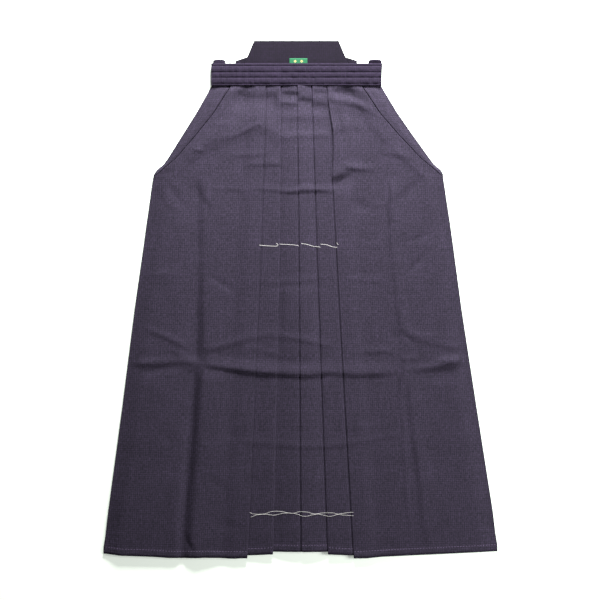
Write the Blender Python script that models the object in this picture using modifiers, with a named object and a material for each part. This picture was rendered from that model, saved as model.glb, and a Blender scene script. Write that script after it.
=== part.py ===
"""Pleated divided trousers (hakama), laid flat on their back with the front up.

Run with: blender --background --python part.py

Lengths are metres and +Z is up. X runs across the garment, Y from the hem to the waist, and z = 0 is
the surface that it lies on. The origin is at the middle of the garment's box, on that surface.

Places on the garment are given as a tailor would. "across" is the distance from the centre line, and
"below" the distance down from the lower edge of the front band, so what is above that edge is negative.
The side at -X is the viewer's left, at +X the viewer's right. "Level" counts layers of cloth.
"""

import math
from collections import namedtuple

import bmesh
import bpy

# The cut of the garment
FRONT_LENGTH = 0.910          # from the band's lower edge to the lowest point of the hem
BAND_WIDTH = 0.328            # across the waist
BAND_HEIGHT = 0.0444
BOARD_RISE = 0.0874           # top of the back board above the band's lower edge
HEM_HALF_WIDTH = 0.380
SLIT_END = 0.176              # where the side openings end and the side seams start
SEAM_ALLOWANCE = 0.012        # cloth that runs up into the band

# Cloth and layers
CLOTH = 0.0010                # thickness of a wall of cloth
GAP = 0.0003                  # air between two pieces
LEVEL = CLOTH + GAP           # height of one layer
FOLD_RADIUS = LEVEL / 2       # centre line of the cloth round a pressed fold
FOLD_REACH = FOLD_RADIUS + CLOTH / 2

# The waist stands on the board and the ties, and the front runs down from it to the back
BOARD_THICKNESS = 0.0024
TIE_THICKNESS = 0.0012
BAND_BOTTOM = BOARD_THICKNESS + TIE_THICKNESS + 2 * GAP
BAND_WALL = 0.0012
BAND_STACK = 4 * LEVEL        # four layers meet at the middle pleat
WAIST_LIFT = BAND_BOTTOM + BAND_WALL + GAP - LEVEL
WAIST_RUN = 0.170             # how far below the band the front has come down

# Pleats
PLEAT_SHARE = 0.45            # depth of a pleat, as a share of the distance to the next
INSEAM_SHARE = 0.60           # where the inner leg seam lies, as a share of the inner pleat
CENTRE_EDGE = 0.002           # the middle fold, made by the right leg
LEFT_TUCK = 0.006             # how far the left leg runs under it

# Pressed storage creases
CREASE_RISE = 0.0015
CREASE_HALF_WIDTH = 0.014
CROSS_CREASE = 0.548
CROSS_CREASE_HALF = 0.018

HALF_BAND = BAND_WIDTH / 2
BAND_Y = (FRONT_LENGTH - BOARD_RISE) / 2

Row = namedtuple("Row", "below value")
Piece = namedtuple("Piece", "along level hem")

# Folded edge of the front along the side opening, then the side seam
FRONT_SIDE = [Row(-0.012, 0.118), Row(0.0, 0.1254), Row(0.052, 0.1605), Row(0.092, 0.1933),
              Row(0.140, 0.235), Row(0.170, 0.268), Row(SLIT_END, 0.2773), Row(0.897, HEM_HALF_WIDTH)]
# The centre line leans a little to the left towards the waist
CENTRE_LINE = [Row(0.0, -0.0080), Row(0.307, -0.0040), Row(FRONT_LENGTH, 0.0)]
# How much wider than its cut each side was laid down, measured at its edge
LEFT_EASE = [Row(-0.012, 0.0), Row(0.052, -0.0022), Row(0.140, -0.0020), Row(0.170, 0.0008),
             Row(0.260, 0.0020), Row(0.430, 0.0032), Row(0.620, 0.0014), Row(0.820, 0.0018), Row(0.897, 0.0)]
RIGHT_EASE = [Row(-0.012, 0.0), Row(0.052, -0.0018), Row(0.092, -0.0004), Row(0.140, 0.0028),
              Row(0.165, 0.0054), Row(0.178, 0.0034), Row(0.260, 0.0032), Row(0.430, 0.0004),
              Row(0.620, 0.0012), Row(0.820, 0.0026), Row(0.897, 0.0)]
# How much lower the left leg's hem was laid, against the distance from the centre line
LEFT_HEM_EASE = [Row(0.115, 0.0), Row(0.139, 0.0015), Row(0.185, 0.0026), Row(0.230, 0.0060),
                 Row(0.255, 0.0066), Row(0.280, 0.0058), Row(0.347, 0.0068), Row(0.380, 0.0047)]
HEM_EASE_STARTS = 0.640
# Outer edge of the long leaf-shaped fold beside it
LEAF_SIDE = [Row(-0.012, 0.157), Row(0.0, 0.1635), Row(0.152, 0.2595), Row(0.161, 0.270),
             Row(0.171, 0.2764), Row(0.178, 0.2772)]
# Folded edges of the outer and the inner pleats
OUTER_PLEAT = [Row(0.0, 0.0594), Row(0.307, 0.0726), Row(FRONT_LENGTH, 0.1023)]
INNER_PLEAT = [Row(0.0, 0.0305), Row(0.307, 0.0362), Row(FRONT_LENGTH, 0.0530)]
# How far the right outer fold swings out of line, where its pleat stands a little open
RIGHT_SWING = [Row(0.030, 0.0), Row(0.086, 0.0060), Row(0.123, 0.0045), Row(SLIT_END, 0.0)]
# The long pressed creases halfway to the sides
LONG_CREASE = [Row(0.200, 0.184), Row(0.412, 0.194), Row(0.644, 0.202), Row(0.876, 0.225)]
# How strongly each of these shows down the length, from 0 to 1
CREASE_STRENGTH = [Row(0.190, 0.0), Row(0.215, 1.0), Row(FRONT_LENGTH, 1.0)]
LEAF_STRENGTH = [Row(0.190, 1.0), Row(0.215, 0.0)]
GUSSET_STRENGTH = [Row(0.385, 0.0), Row(0.400, 1.0), Row(0.510, 1.0), Row(0.530, 0.0)]

# Rows of points down the front, where something begins or ends
FRONT_ROWS = [-SEAM_ALLOWANCE, 0.0, 0.030, 0.052, 0.086, 0.123, 0.140, 0.165, SLIT_END, 0.190, 0.215, 0.300,
              0.385, 0.400, 0.510, 0.530, CROSS_CREASE, 0.566, HEM_EASE_STARTS, 0.760, 0.860, FRONT_LENGTH]
LEAF_ROWS = [-SEAM_ALLOWANCE, 0.0, 0.052, 0.092, 0.140, 0.152, 0.161, 0.171, 0.178]
BACK_ROWS = [0.0006, 0.052, 0.092, 0.140, 0.165, 0.172, 0.215, 0.300, 0.430, HEM_EASE_STARTS, 0.760,
             FRONT_LENGTH]

# Where each part of the hem ends: the pleats get shorter towards the middle
HEM_AT_SIDE = 0.897
HEM_AT_OUTER_FOLD = 0.910
HEM_SECOND_START = 0.9046
HEM_SECOND_END = 0.9025
HEM_MIDDLE = 0.8975
HEM_BACK_SIDE = 0.896
HEM_BACK_CENTRE = 0.893

# Back board, ties, gusset and label
BOARD_TOP_HALF = 0.0817
BOARD_SLOPE = 0.42            # how much wider each side gets per unit of height
BOARD_ROUND = 0.0004
BACK_TIE_FOLD = 0.117
BACK_TIE_END = 0.030
BACK_TIE_TOP = -0.0495
BACK_TIE_RISE = 0.0065        # how much higher the tie starts at the board
BACK_TIE_BOTTOM = -0.0190
FRONT_TIE_TOP = -0.0510
FRONT_TIE_BOTTOM = 0.045
FRONT_TIES = {"left": (-0.1594, -0.1371), "right": (0.1400, 0.1643)}
BACK_INSET = 0.008            # the back's opening edge lies this far inside the leaf fold
GUSSET_CENTRE = 0.455
GUSSET_HALF_LENGTH = 0.052
GUSSET_HALF_WIDTH = 0.022
LABEL_SIZE = (0.0347, 0.0165, 0.0006)
LABEL_CENTRE = (0.0039, -0.0463)

# Stitched ridges of the band: upper edge, lower edge and how far the ridge swells
Ridge = namedtuple("Ridge", "upper lower swell")
BAND_RIDGES = [Ridge(-0.0444, -0.0409, 0.0002), Ridge(-0.0409, -0.0295, 0.0006),
               Ridge(-0.0295, -0.0179, 0.0006), Ridge(-0.0179, -0.0052, 0.0006),
               Ridge(-0.0052, 0.0, 0.0002)]
RIDGE_STEPS = 5
BAND_ROUND = 0.0014
SLOT_DEPTH = SEAM_ALLOWANCE + 0.0015

NAVY = (0.040, 0.033, 0.058, 1.0)
NAVY_BAND = (0.044, 0.037, 0.062, 1.0)
NAVY_INSIDE = (0.034, 0.029, 0.050, 1.0)
LABEL_GREEN = (0.030, 0.260, 0.110, 1.0)


def clear_scene():
    for leftover in list(bpy.data.objects):
        bpy.data.objects.remove(leftover, do_unlink=True)


def collection_for_parts():
    made = bpy.data.collections.new("hakama")
    bpy.context.scene.collection.children.link(made)
    return made


def material(name, colour, roughness):
    made = bpy.data.materials.new(name)
    made.use_nodes = True
    shader = made.node_tree.nodes["Principled BSDF"]
    shader.inputs["Base Color"].default_value = colour
    shader.inputs["Roughness"].default_value = roughness
    shader.inputs["Metallic"].default_value = 0.0
    return made


def read(table, below):
    """Value of a table at a distance below the band, straight between its rows."""
    if below <= table[0].below:
        return table[0].value
    for upper, lower in zip(table, table[1:]):
        if below <= lower.below:
            share = (below - upper.below) / (lower.below - upper.below)
            return upper.value + share * (lower.value - upper.value)
    return table[-1].value


def point(side, across, below, height):
    """A place on the garment in the object's frame: side is -1 at the left and 1 at the right."""
    outwards = read(RIGHT_EASE if side > 0 else LEFT_EASE, below) * (across / read(FRONT_SIDE, below)) ** 2
    if side < 0 and below > HEM_EASE_STARTS:
        share = (below - HEM_EASE_STARTS) / (FRONT_LENGTH - HEM_EASE_STARTS)
        below += share * read(LEFT_HEM_EASE, across)
    return (side * (across + outwards) + read(CENTRE_LINE, below), BAND_Y - below, height)


def outer_fold(side, below):
    return read(OUTER_PLEAT, below) + (read(RIGHT_SWING, below) if side > 0 else 0.0)


def inseam(below):
    return INSEAM_SHARE * read(INNER_PLEAT, below)


def waist_drop(below):
    """How much of the waist's height is left, from 1 in the band to 0 where the front lies down."""
    return min(1.0, max(0.0, 1.0 - below / WAIST_RUN))


def cross_crease(below):
    return CREASE_RISE * max(0.0, 1.0 - abs(below - CROSS_CREASE) / CROSS_CREASE_HALF)


def front_base(across, below):
    """Underside of the lowest layer of the front, over the back, the gusset and the leaf fold."""
    drop = waist_drop(below)
    height = LEVEL + WAIST_LIFT * drop + cross_crease(below)
    inner_end = 0.9 * read(INNER_PLEAT, below)
    inner_start = inseam(below) + 0.002
    inner = min(1.0, max(0.0, (inner_end - across) / (inner_end - inner_start)))
    height += LEVEL * (1.0 + read(GUSSET_STRENGTH, below)) * inner * (1.0 - drop)
    _, leaf_full, leaf_start = leaf_lines(below)
    leaf = min(1.0, max(0.0, (across - leaf_start) / (leaf_full - leaf_start)))
    height += LEVEL * leaf * read(LEAF_STRENGTH, below)
    crease = 1.0 - abs(across - read(LONG_CREASE, below)) / CREASE_HALF_WIDTH
    return height + CREASE_RISE * max(0.0, crease) * read(CREASE_STRENGTH, below)


def leaf_lines(below):
    """Where the front crosses the leaf fold: its inner edge, where it is up on it, and where it rises."""
    side = read(FRONT_SIDE, below)
    span = side - read(OUTER_PLEAT, below) - pleat_depth(below)
    return (side - min(0.028, 0.28 * span), side - min(0.030, 0.30 * span), side - min(0.050, 0.50 * span))


def pleat_depth(below):
    return PLEAT_SHARE * (read(OUTER_PLEAT, below) - read(INNER_PLEAT, below))


def fold_back(along, level, towards, step):
    """The points of a pressed fold between two levels. It bulges towards the centre line (-1) or away (1)."""
    middle = level + step / 2
    return [(along + towards * FOLD_RADIUS * math.sin(turn), middle - step / 2 * math.cos(turn))
            for turn in (math.pi / 3, 2 * math.pi / 3)]


def outer_panel(side, below):
    """From the side edge to the outer pleat's fold: across and level of each point."""
    edge, fold = read(FRONT_SIDE, below), outer_fold(side, below)
    stack = fold + pleat_depth(below)
    _, leaf_full, leaf_start = leaf_lines(below)
    ramp = stack + min(0.030, 0.45 * (edge - stack))
    if below < CREASE_STRENGTH[0].below:
        third = (leaf_start - ramp) / 4
        crease = [ramp + 3 * third, ramp + 2 * third, ramp + third]
    else:
        line = read(LONG_CREASE, below)
        crease = [line + CREASE_HALF_WIDTH, line, line - CREASE_HALF_WIDTH]
    flat = [edge, leaf_full, leaf_start, *crease, ramp]
    return [(across, 0.0) for across in flat] + [(stack + 0.002, 2.0), (fold + FOLD_REACH, 2.0)]


def knife_pleat(fold, depth):
    """The cloth that turns under at a fold, runs back and turns again, two layers below."""
    edge, back = fold + FOLD_REACH, fold + depth
    return [*fold_back(edge, 2.0, -1, -1.0), (edge, 1.0), (back, 1.0), *fold_back(back, 1.0, 1, -1.0), (back, 0.0)]


def pleated_front(side, below):
    """(across, level) of each point from the side edge to the inner leg seam, for the left or the right leg."""
    outer, inner = outer_fold(side, below), read(INNER_PLEAT, below)
    depth, seam = pleat_depth(below), inseam(below)
    path = outer_panel(side, below) + knife_pleat(outer, depth)
    path += [(outer - 0.003, 0.0), (inner + depth + 0.002, 2.0), (inner + FOLD_REACH, 2.0)]
    path += knife_pleat(inner, depth)
    path += [(0.9 * inner, 0.0), (seam + 0.002, 1.0)]
    if side < 0:
        tuck = FOLD_REACH - LEFT_TUCK
        return path + [(tuck, 1.0), *fold_back(tuck, 1.0, -1, -1.0), (tuck, 0.0), (seam, 0.0)]
    edge = CENTRE_EDGE + FOLD_REACH
    return path + [(0.017, 1.0), (0.009, 3.0), (edge, 3.0), *fold_back(edge, 3.0, -1, -1.0), (edge, 2.0),
                   (0.0086, 2.0), (0.0166, 0.0), (seam, 0.0)]


def front_hems(side):
    """Where the hem ends at each point of pleated_front. It steps where a layer runs back under a pleat."""
    slope = (HEM_AT_OUTER_FOLD - HEM_AT_SIDE) / (len(outer_panel(side, FRONT_LENGTH)) - 1)
    ends = [HEM_AT_SIDE + slope * column for column in range(len(outer_panel(side, FRONT_LENGTH)))]
    ends += [HEM_AT_OUTER_FOLD] * 3 + [HEM_SECOND_START] * 5 + [HEM_SECOND_END] * 5
    return ends + [HEM_MIDDLE] * (len(pleated_front(side, 0.0)) - len(ends))


def cloth(name, rows, thickness, finish, parts):
    """A sheet through rows of points, thickened by half its thickness to each side."""
    columns = len(rows[0])
    shape = bmesh.new()
    bmesh.ops.create_grid(shape, x_segments=columns - 1, y_segments=len(rows) - 1, size=1.0)
    for vertex in shape.verts:
        column = round((vertex.co.x + 1) / 2 * (columns - 1))
        row = round((vertex.co.y + 1) / 2 * (len(rows) - 1))
        vertex.co = rows[row][column]
    mesh = bpy.data.meshes.new(name)
    shape.to_mesh(mesh)
    shape.free()
    made = bpy.data.objects.new(name, mesh)
    parts.objects.link(made)
    wall = made.modifiers.new("cloth", "SOLIDIFY")
    wall.thickness = thickness
    wall.offset = 0.0
    wall.use_even_offset = True
    made.data.materials.append(finish)
    return made


def flat_shape(name, outline, thickness, height, finish, parts, rounding=0.0):
    """A flat outline of (x, y) points, given a thickness from a height up."""
    curve = bpy.data.curves.new(name, "CURVE")
    curve.dimensions = "2D"
    curve.fill_mode = "BOTH"
    curve.extrude = thickness / 2 - rounding
    curve.bevel_depth = rounding
    curve.bevel_resolution = 1
    curve.offset = -rounding
    spline = curve.splines.new("POLY")
    spline.points.add(len(outline) - 1)
    for place, (x, y) in zip(spline.points, outline):
        place.co = (x, y, 0.0, 1.0)
    spline.use_cyclic_u = True
    made = bpy.data.objects.new(name, curve)
    made.location.z = height + thickness / 2
    made.data.materials.append(finish)
    parts.objects.link(made)
    return made


def front_leg(name, side, finish, parts):
    """One leg's front: outer panel, two knife pleats and the cloth that folds under at the middle."""
    hems = front_hems(side)
    rows = []
    for step, below in enumerate(FRONT_ROWS):
        last = step == len(FRONT_ROWS) - 1
        row = []
        for column, hem in enumerate(hems):
            down = hem if last else below
            across, level = pleated_front(side, down)[column]
            height = front_base(abs(across), down) + level * LEVEL + CLOTH / 2
            row.append(point(side, across, down, height))
        rows.append(row)
    return cloth(name, rows, CLOTH, finish, parts)


def leaf_fold(name, side, finish, parts):
    """The long narrow fold that shows beside the front along the side opening."""
    rows = []
    for below in LEAF_ROWS:
        inner, outer = leaf_lines(below)[0], read(LEAF_SIDE, below)
        height = LEVEL + WAIST_LIFT * waist_drop(below) + CLOTH / 2
        rows.append([point(side, across, below, height) for across in (outer, (outer + inner) / 2, inner)])
    return cloth(name, rows, CLOTH, finish, parts)


def back_side(below):
    """Outer edge of the back: just inside the leaf fold, then the side seam."""
    if below < 0.165:
        return read(LEAF_SIDE, below) - BACK_INSET
    return read(FRONT_SIDE, below) if below > SLIT_END else read(LEAF_SIDE, below)


def back_leg(name, side, finish, parts):
    """One leg's back, flat on the surface, with its pleat turned in at the centre back."""
    rows = []
    for step, below in enumerate(BACK_ROWS):
        last = step == len(BACK_ROWS) - 1
        edge, seam, outer = GAP / 2 + FOLD_REACH, inseam(below), back_side(below)
        turned = [(across, CLOTH / 2 + LEVEL * (1 + level)) for across, level in fold_back(edge, -1.0, -1, 1.0)]
        path = [(outer, CLOTH / 2), ((outer + edge) / 2, CLOTH / 2), (edge, CLOTH / 2), *turned,
                (edge, CLOTH / 2 + LEVEL), (seam, CLOTH / 2 + LEVEL)]
        ends = [HEM_BACK_SIDE, (HEM_BACK_SIDE + HEM_BACK_CENTRE) / 2] + [HEM_BACK_CENTRE] * (len(path) - 2)
        rows.append([point(side, across, end if last else below, height)
                     for (across, height), end in zip(path, ends)])
    return cloth(name, rows, CLOTH, finish, parts)


def gusset(name, finish, parts):
    """The folded crotch piece between the legs, a flat diamond."""
    shape = bmesh.new()
    bmesh.ops.create_cone(shape, cap_ends=True, segments=4, radius1=1.0, radius2=1.0, depth=CLOTH)
    bmesh.ops.scale(shape, vec=(GUSSET_HALF_WIDTH, GUSSET_HALF_LENGTH, 1.0), verts=shape.verts)
    mesh = bpy.data.meshes.new(name)
    shape.to_mesh(mesh)
    shape.free()
    made = bpy.data.objects.new(name, mesh)
    made.location = point(1, 0.0, GUSSET_CENTRE, 2 * LEVEL + CLOTH / 2)
    made.data.materials.append(finish)
    parts.objects.link(made)
    return made


def band_outline():
    """The band's cross section, in (distance towards the waist, height): ridges on top, a slot for the front."""
    top = BAND_BOTTOM + 2 * BAND_WALL + BAND_STACK + GAP
    slot_low, slot_high = BAND_BOTTOM + BAND_WALL, top - BAND_WALL
    outline = []
    for ridge in reversed(BAND_RIDGES):
        for step in range(RIDGE_STEPS + 1):
            share = step / RIDGE_STEPS
            swell = ridge.swell * math.sin(math.pi * share)
            outline.append((-(ridge.lower + share * (ridge.upper - ridge.lower)), top + swell))
        outline.pop()
    outline[0] = (BAND_ROUND / 2, top)
    upper = -BAND_RIDGES[0].upper
    outline += [(upper - BAND_ROUND, top), (upper, top - BAND_ROUND), (upper, BAND_BOTTOM + BAND_ROUND),
                (upper - BAND_ROUND, BAND_BOTTOM), (0.0, BAND_BOTTOM), (0.0, slot_low),
                (SLOT_DEPTH, slot_low), (SLOT_DEPTH, slot_high), (0.0, slot_high), (0.0, top - BAND_ROUND / 2)]
    return outline


def front_band(name, finish, parts):
    """The stitched waist band. The front and the leaf folds run up into its slot."""
    made = flat_shape(name, band_outline(), BAND_WIDTH, -HALF_BAND, finish, parts)
    made.location = point(1, 0.0, 0.0, 0.0)
    made.rotation_euler = (math.pi / 2, 0.0, math.pi / 2)
    return made


def board_half(below):
    return BOARD_TOP_HALF + BOARD_SLOPE * (below + BOARD_RISE)


def back_board(name, finish, parts):
    """The stiff trapezoid that stands up at the small of the back."""
    corners = [(board_half(0.0), 0.0), (BOARD_TOP_HALF, -BOARD_RISE)]
    outline = [point(1, across, below, 0.0)[:2] for across, below in corners]
    outline += [point(-1, across, below, 0.0)[:2] for across, below in reversed(corners)]
    return flat_shape(name, outline, BOARD_THICKNESS, 0.0, finish, parts, BOARD_ROUND)


def back_tie(name, side, finish, parts):
    """A back tie: out from the board's slanting side, over at a fold, and back in behind the band."""
    low, high = TIE_THICKNESS / 2, BOARD_THICKNESS + GAP + TIE_THICKNESS / 2
    radius = (high - low) / 2
    turn = BACK_TIE_FOLD - radius - TIE_THICKNESS / 2
    rows = []
    for share in (0.0, 0.5, 1.0):
        top_start = BACK_TIE_TOP - BACK_TIE_RISE
        start = top_start + share * (BACK_TIE_BOTTOM - top_start)
        rest = BACK_TIE_TOP + share * (BACK_TIE_BOTTOM - BACK_TIE_TOP)
        row = [point(side, min(board_half(start) + 2 * GAP, turn - 0.001), start, low), point(side, turn, rest, low)]
        for angle in (math.pi / 4, math.pi / 2, 3 * math.pi / 4):
            height = low + radius * (1 - math.cos(angle))
            row.append(point(side, turn + radius * math.sin(angle), rest, height))
        row += [point(side, turn, rest, high), point(side, BACK_TIE_END, rest, high)]
        rows.append(row)
    return cloth(name, rows, TIE_THICKNESS, finish, parts)


def front_tie(name, edges, finish, parts):
    """A front tie, folded behind the end of the band. Its upper fold stands above the band."""
    turn = FRONT_TIE_TOP + FOLD_REACH
    low = LEVEL + CLOTH / 2
    path = [(FRONT_TIE_BOTTOM, low), (turn, low)]
    path += [(turn - FOLD_RADIUS * math.sin(angle), low + FOLD_RADIUS * (1 - math.cos(angle)))
             for angle in (math.pi / 4, math.pi / 2, 3 * math.pi / 4)]
    path += [(turn, low + LEVEL), (FRONT_TIE_BOTTOM - 0.005, low + LEVEL)]
    rows = [[point(1, across, below, height) for below, height in path] for across in edges]
    return cloth(name, rows, CLOTH, finish, parts)


def label(name, finish, parts):
    """A plain woven label on the inside of the back board, partly behind the band."""
    across, below = LABEL_CENTRE
    shape = bmesh.new()
    bmesh.ops.create_cube(shape, size=1.0)
    bmesh.ops.scale(shape, vec=LABEL_SIZE, verts=shape.verts)
    mesh = bpy.data.meshes.new(name)
    shape.to_mesh(mesh)
    shape.free()
    made = bpy.data.objects.new(name, mesh)
    made.location = point(1, across, below, BOARD_THICKNESS + GAP + LABEL_SIZE[2] / 2)
    made.data.materials.append(finish)
    parts.objects.link(made)
    return made


def main():
    clear_scene()
    parts = collection_for_parts()
    cloth_finish = material("trouser_cloth", NAVY, 0.85)
    band_finish = material("band_cloth", NAVY_BAND, 0.80)
    inside_finish = material("board_cloth", NAVY_INSIDE, 0.85)
    label_finish = material("label_satin", LABEL_GREEN, 0.45)
    for word, side in (("left", -1), ("right", 1)):
        back_leg(f"back_leg_{word}", side, cloth_finish, parts)
        front_leg(f"front_leg_{word}", side, cloth_finish, parts)
        leaf_fold(f"leaf_fold_{word}", side, cloth_finish, parts)
        back_tie(f"back_tie_{word}", side, band_finish, parts)
        front_tie(f"front_tie_{word}", FRONT_TIES[word], band_finish, parts)
    gusset("crotch_gusset", cloth_finish, parts)
    front_band("front_band", band_finish, parts)
    back_board("back_board", inside_finish, parts)
    label("woven_label", label_finish, parts)


main()
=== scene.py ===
# %% [markdown]
# # Pleated divided trousers, laid flat with the front up
# The garment is thin cloth in many layers: two legs' backs, a crotch gusset, two pleated fronts, a stiff
# waist band, a stiff back board and four ties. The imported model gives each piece's place and size, and
# this script gives each its fine surface: soft creases, stitching, woven cloth and light.

# %% Load the frame
import math
from collections import namedtuple

import bpy
import numpy as np
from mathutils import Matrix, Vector
from mathutils.bvhtree import BVHTree


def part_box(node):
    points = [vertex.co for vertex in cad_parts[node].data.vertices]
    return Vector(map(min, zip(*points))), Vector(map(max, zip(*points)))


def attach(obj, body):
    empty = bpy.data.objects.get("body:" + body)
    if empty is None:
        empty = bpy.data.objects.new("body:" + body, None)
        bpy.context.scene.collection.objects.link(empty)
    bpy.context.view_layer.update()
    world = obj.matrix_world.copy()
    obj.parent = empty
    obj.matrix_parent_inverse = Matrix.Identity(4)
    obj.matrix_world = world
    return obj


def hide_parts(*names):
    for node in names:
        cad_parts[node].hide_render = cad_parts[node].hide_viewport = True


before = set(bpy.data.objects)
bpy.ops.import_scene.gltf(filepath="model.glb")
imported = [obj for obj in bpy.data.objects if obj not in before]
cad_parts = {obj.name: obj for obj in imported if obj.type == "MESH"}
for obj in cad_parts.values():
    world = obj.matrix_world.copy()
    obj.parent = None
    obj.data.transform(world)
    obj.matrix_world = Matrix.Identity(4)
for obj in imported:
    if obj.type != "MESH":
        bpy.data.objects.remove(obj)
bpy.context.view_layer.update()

# %% [markdown]
# ## How places on the garment are given
# A maker measures from the centre line and from the band's lower edge, so the tables here do too:
# "across" is the distance from the centre line, and "below" is the distance down from the band, so the
# waist is negative. A piece on the viewer's left has side -1 and on the right 1. "Level" counts layers.

# %% Sizes that the pieces share, in metres
Row = namedtuple("Row", "below value")
FRONT_LENGTH = 0.910      # from the band's lower edge to the lowest point of the hem
BAND_HEIGHT = 0.0444
SLIT_END = 0.176          # where the side openings end and the side seams start
SEAM_ALLOWANCE = 0.012    # cloth that runs up into the band
LEVEL = 0.0013            # height of one layer of cloth
FOLD_RADIUS = LEVEL / 2
FOLD_REACH = 0.00115      # from a fold's outermost line to where its turn starts
WALL = 0.0008             # thickness of the cloth
BAND_LOW, BAND_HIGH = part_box("front_band")
BOARD_LOW, BOARD_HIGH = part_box("back_board")
WAIST_Y = BAND_LOW.y
CENTRE_LINE = [Row(0.0, -0.0080), Row(0.307, -0.0040), Row(FRONT_LENGTH, 0.0)]
# The garment was laid down by hand: how much wider than its cut each side lies, measured at its edge, and
# how much lower the left leg's hem lies, against the distance from the centre line.
LEFT_EASE = [Row(-0.012, 0.0), Row(0.052, -0.0022), Row(0.140, -0.0020), Row(0.170, 0.0008),
             Row(0.260, 0.0020), Row(0.430, 0.0032), Row(0.620, 0.0014), Row(0.820, 0.0018), Row(0.897, 0.0)]
RIGHT_EASE = [Row(-0.012, 0.0), Row(0.052, -0.0018), Row(0.092, -0.0004), Row(0.140, 0.0028),
              Row(0.165, 0.0054), Row(0.178, 0.0034), Row(0.260, 0.0032), Row(0.430, 0.0004),
              Row(0.620, 0.0012), Row(0.820, 0.0026), Row(0.897, 0.0)]
LEFT_HEM_EASE = [Row(0.115, 0.0), Row(0.139, 0.0015), Row(0.185, 0.0026), Row(0.230, 0.0060),
                 Row(0.255, 0.0066), Row(0.280, 0.0058), Row(0.347, 0.0068), Row(0.380, 0.0047)]
HEM_EASE_STARTS = 0.640
FRONT_SIDE = [Row(-0.012, 0.118), Row(0.0, 0.1254), Row(0.052, 0.1605), Row(0.092, 0.1933),
              Row(0.140, 0.235), Row(0.170, 0.268), Row(SLIT_END, 0.2773), Row(0.897, 0.380)]
print("the band's lower edge lies at y =", round(WAIST_Y, 4))


# %% Read a table, ease a step, place a point
def read(table, below):
    return np.interp(below, [row.below for row in table], [row.value for row in table])


def ease(share):
    """0 to 1, level at both ends."""
    share = np.clip(share, 0.0, 1.0)
    return share * share * (3.0 - 2.0 * share)


def place(side, across, below, height):
    """Rows of points (x, y, z) from arrays of the same shape."""
    across, below, height = np.broadcast_arrays(across, below, height)
    outwards = read(RIGHT_EASE if side > 0 else LEFT_EASE, below) * (across / read(FRONT_SIDE, below)) ** 2
    if side < 0:
        share = np.clip((below - HEM_EASE_STARTS) / (FRONT_LENGTH - HEM_EASE_STARTS), 0.0, None)
        below = below + share * read(LEFT_HEM_EASE, across)
    return np.stack([side * (across + outwards) + read(CENTRE_LINE, below), WAIST_Y - below, height], axis=-1)


print("where the right side opening ends:", place(1, read(FRONT_SIDE, SLIT_END), SLIT_END, 0.0).round(3))


# %% [markdown]
# ## The lines of the cut
# The front's folded edge runs down the side opening and then the side seam. The leaf-shaped fold beside
# it, the pleats and the inner leg seam all follow short tables of distances. Straight cuts join the rows,
# because the cloth is folded along straight pressed lines.

# %% Tables of the front's edges and pleats
LEAF_SIDE = [Row(-0.012, 0.157), Row(0.0, 0.1635), Row(0.152, 0.2595), Row(0.161, 0.270),
             Row(0.171, 0.2764), Row(0.178, 0.2772)]
OUTER_PLEAT = [Row(0.0, 0.0594), Row(0.307, 0.0726), Row(FRONT_LENGTH, 0.1023)]
INNER_PLEAT = [Row(0.0, 0.0305), Row(0.307, 0.0362), Row(FRONT_LENGTH, 0.0530)]
RIGHT_SWING = [Row(0.030, 0.0), Row(0.086, 0.0060), Row(0.123, 0.0045), Row(SLIT_END, 0.0)]
PLEAT_SHARE = 0.45        # depth of a pleat, as a share of the distance to the next
INSEAM_SHARE = 0.60       # where the inner leg seam lies, as a share of the inner pleat's distance
CENTRE_EDGE = 0.002       # the middle fold, made by the right leg
LEFT_TUCK = 0.006         # how far the left leg runs under it
GUSSET_MARGIN, GUSSET_SHARE = 0.002, 0.9
GUSSET_RISE = [Row(0.385, 0.0), Row(0.400, 1.0), Row(0.510, 1.0), Row(0.530, 0.0)]
LEAF_RISE = [Row(0.190, 1.0), Row(0.215, 0.0)]
# How far in from the front's edge each line of the leaf fold lies: metres, or a share of the flat stretch
# beside the pleats where that is less. They are its inner edge, where the front is up on it, and where
# the front starts to rise.
LEAF_LINES = [(0.028, 0.28), (0.030, 0.30), (0.050, 0.50)]
WAIST_LIFT = 0.0042
WAIST_RUN = 0.170
HEM_AT_SIDE, HEM_AT_OUTER_FOLD = 0.897, 0.910
HEM_SECOND_START, HEM_SECOND_END, HEM_MIDDLE = 0.9046, 0.9025, 0.8975
HEM_STARTS = 0.860


def outer_fold(side, below):
    return read(OUTER_PLEAT, below) + (read(RIGHT_SWING, below) if side > 0 else 0.0)


def pleat_depth(below):
    return PLEAT_SHARE * (read(OUTER_PLEAT, below) - read(INNER_PLEAT, below))


def inseam(below):
    return INSEAM_SHARE * read(INNER_PLEAT, below)


def leaf_lines(below):
    edge = read(FRONT_SIDE, below)
    span = edge - read(OUTER_PLEAT, below) - pleat_depth(below)
    return [edge - min(reach, share * span) for reach, share in LEAF_LINES]


print("front, widest:", read(FRONT_SIDE, HEM_AT_SIDE), "m to each side")
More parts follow.
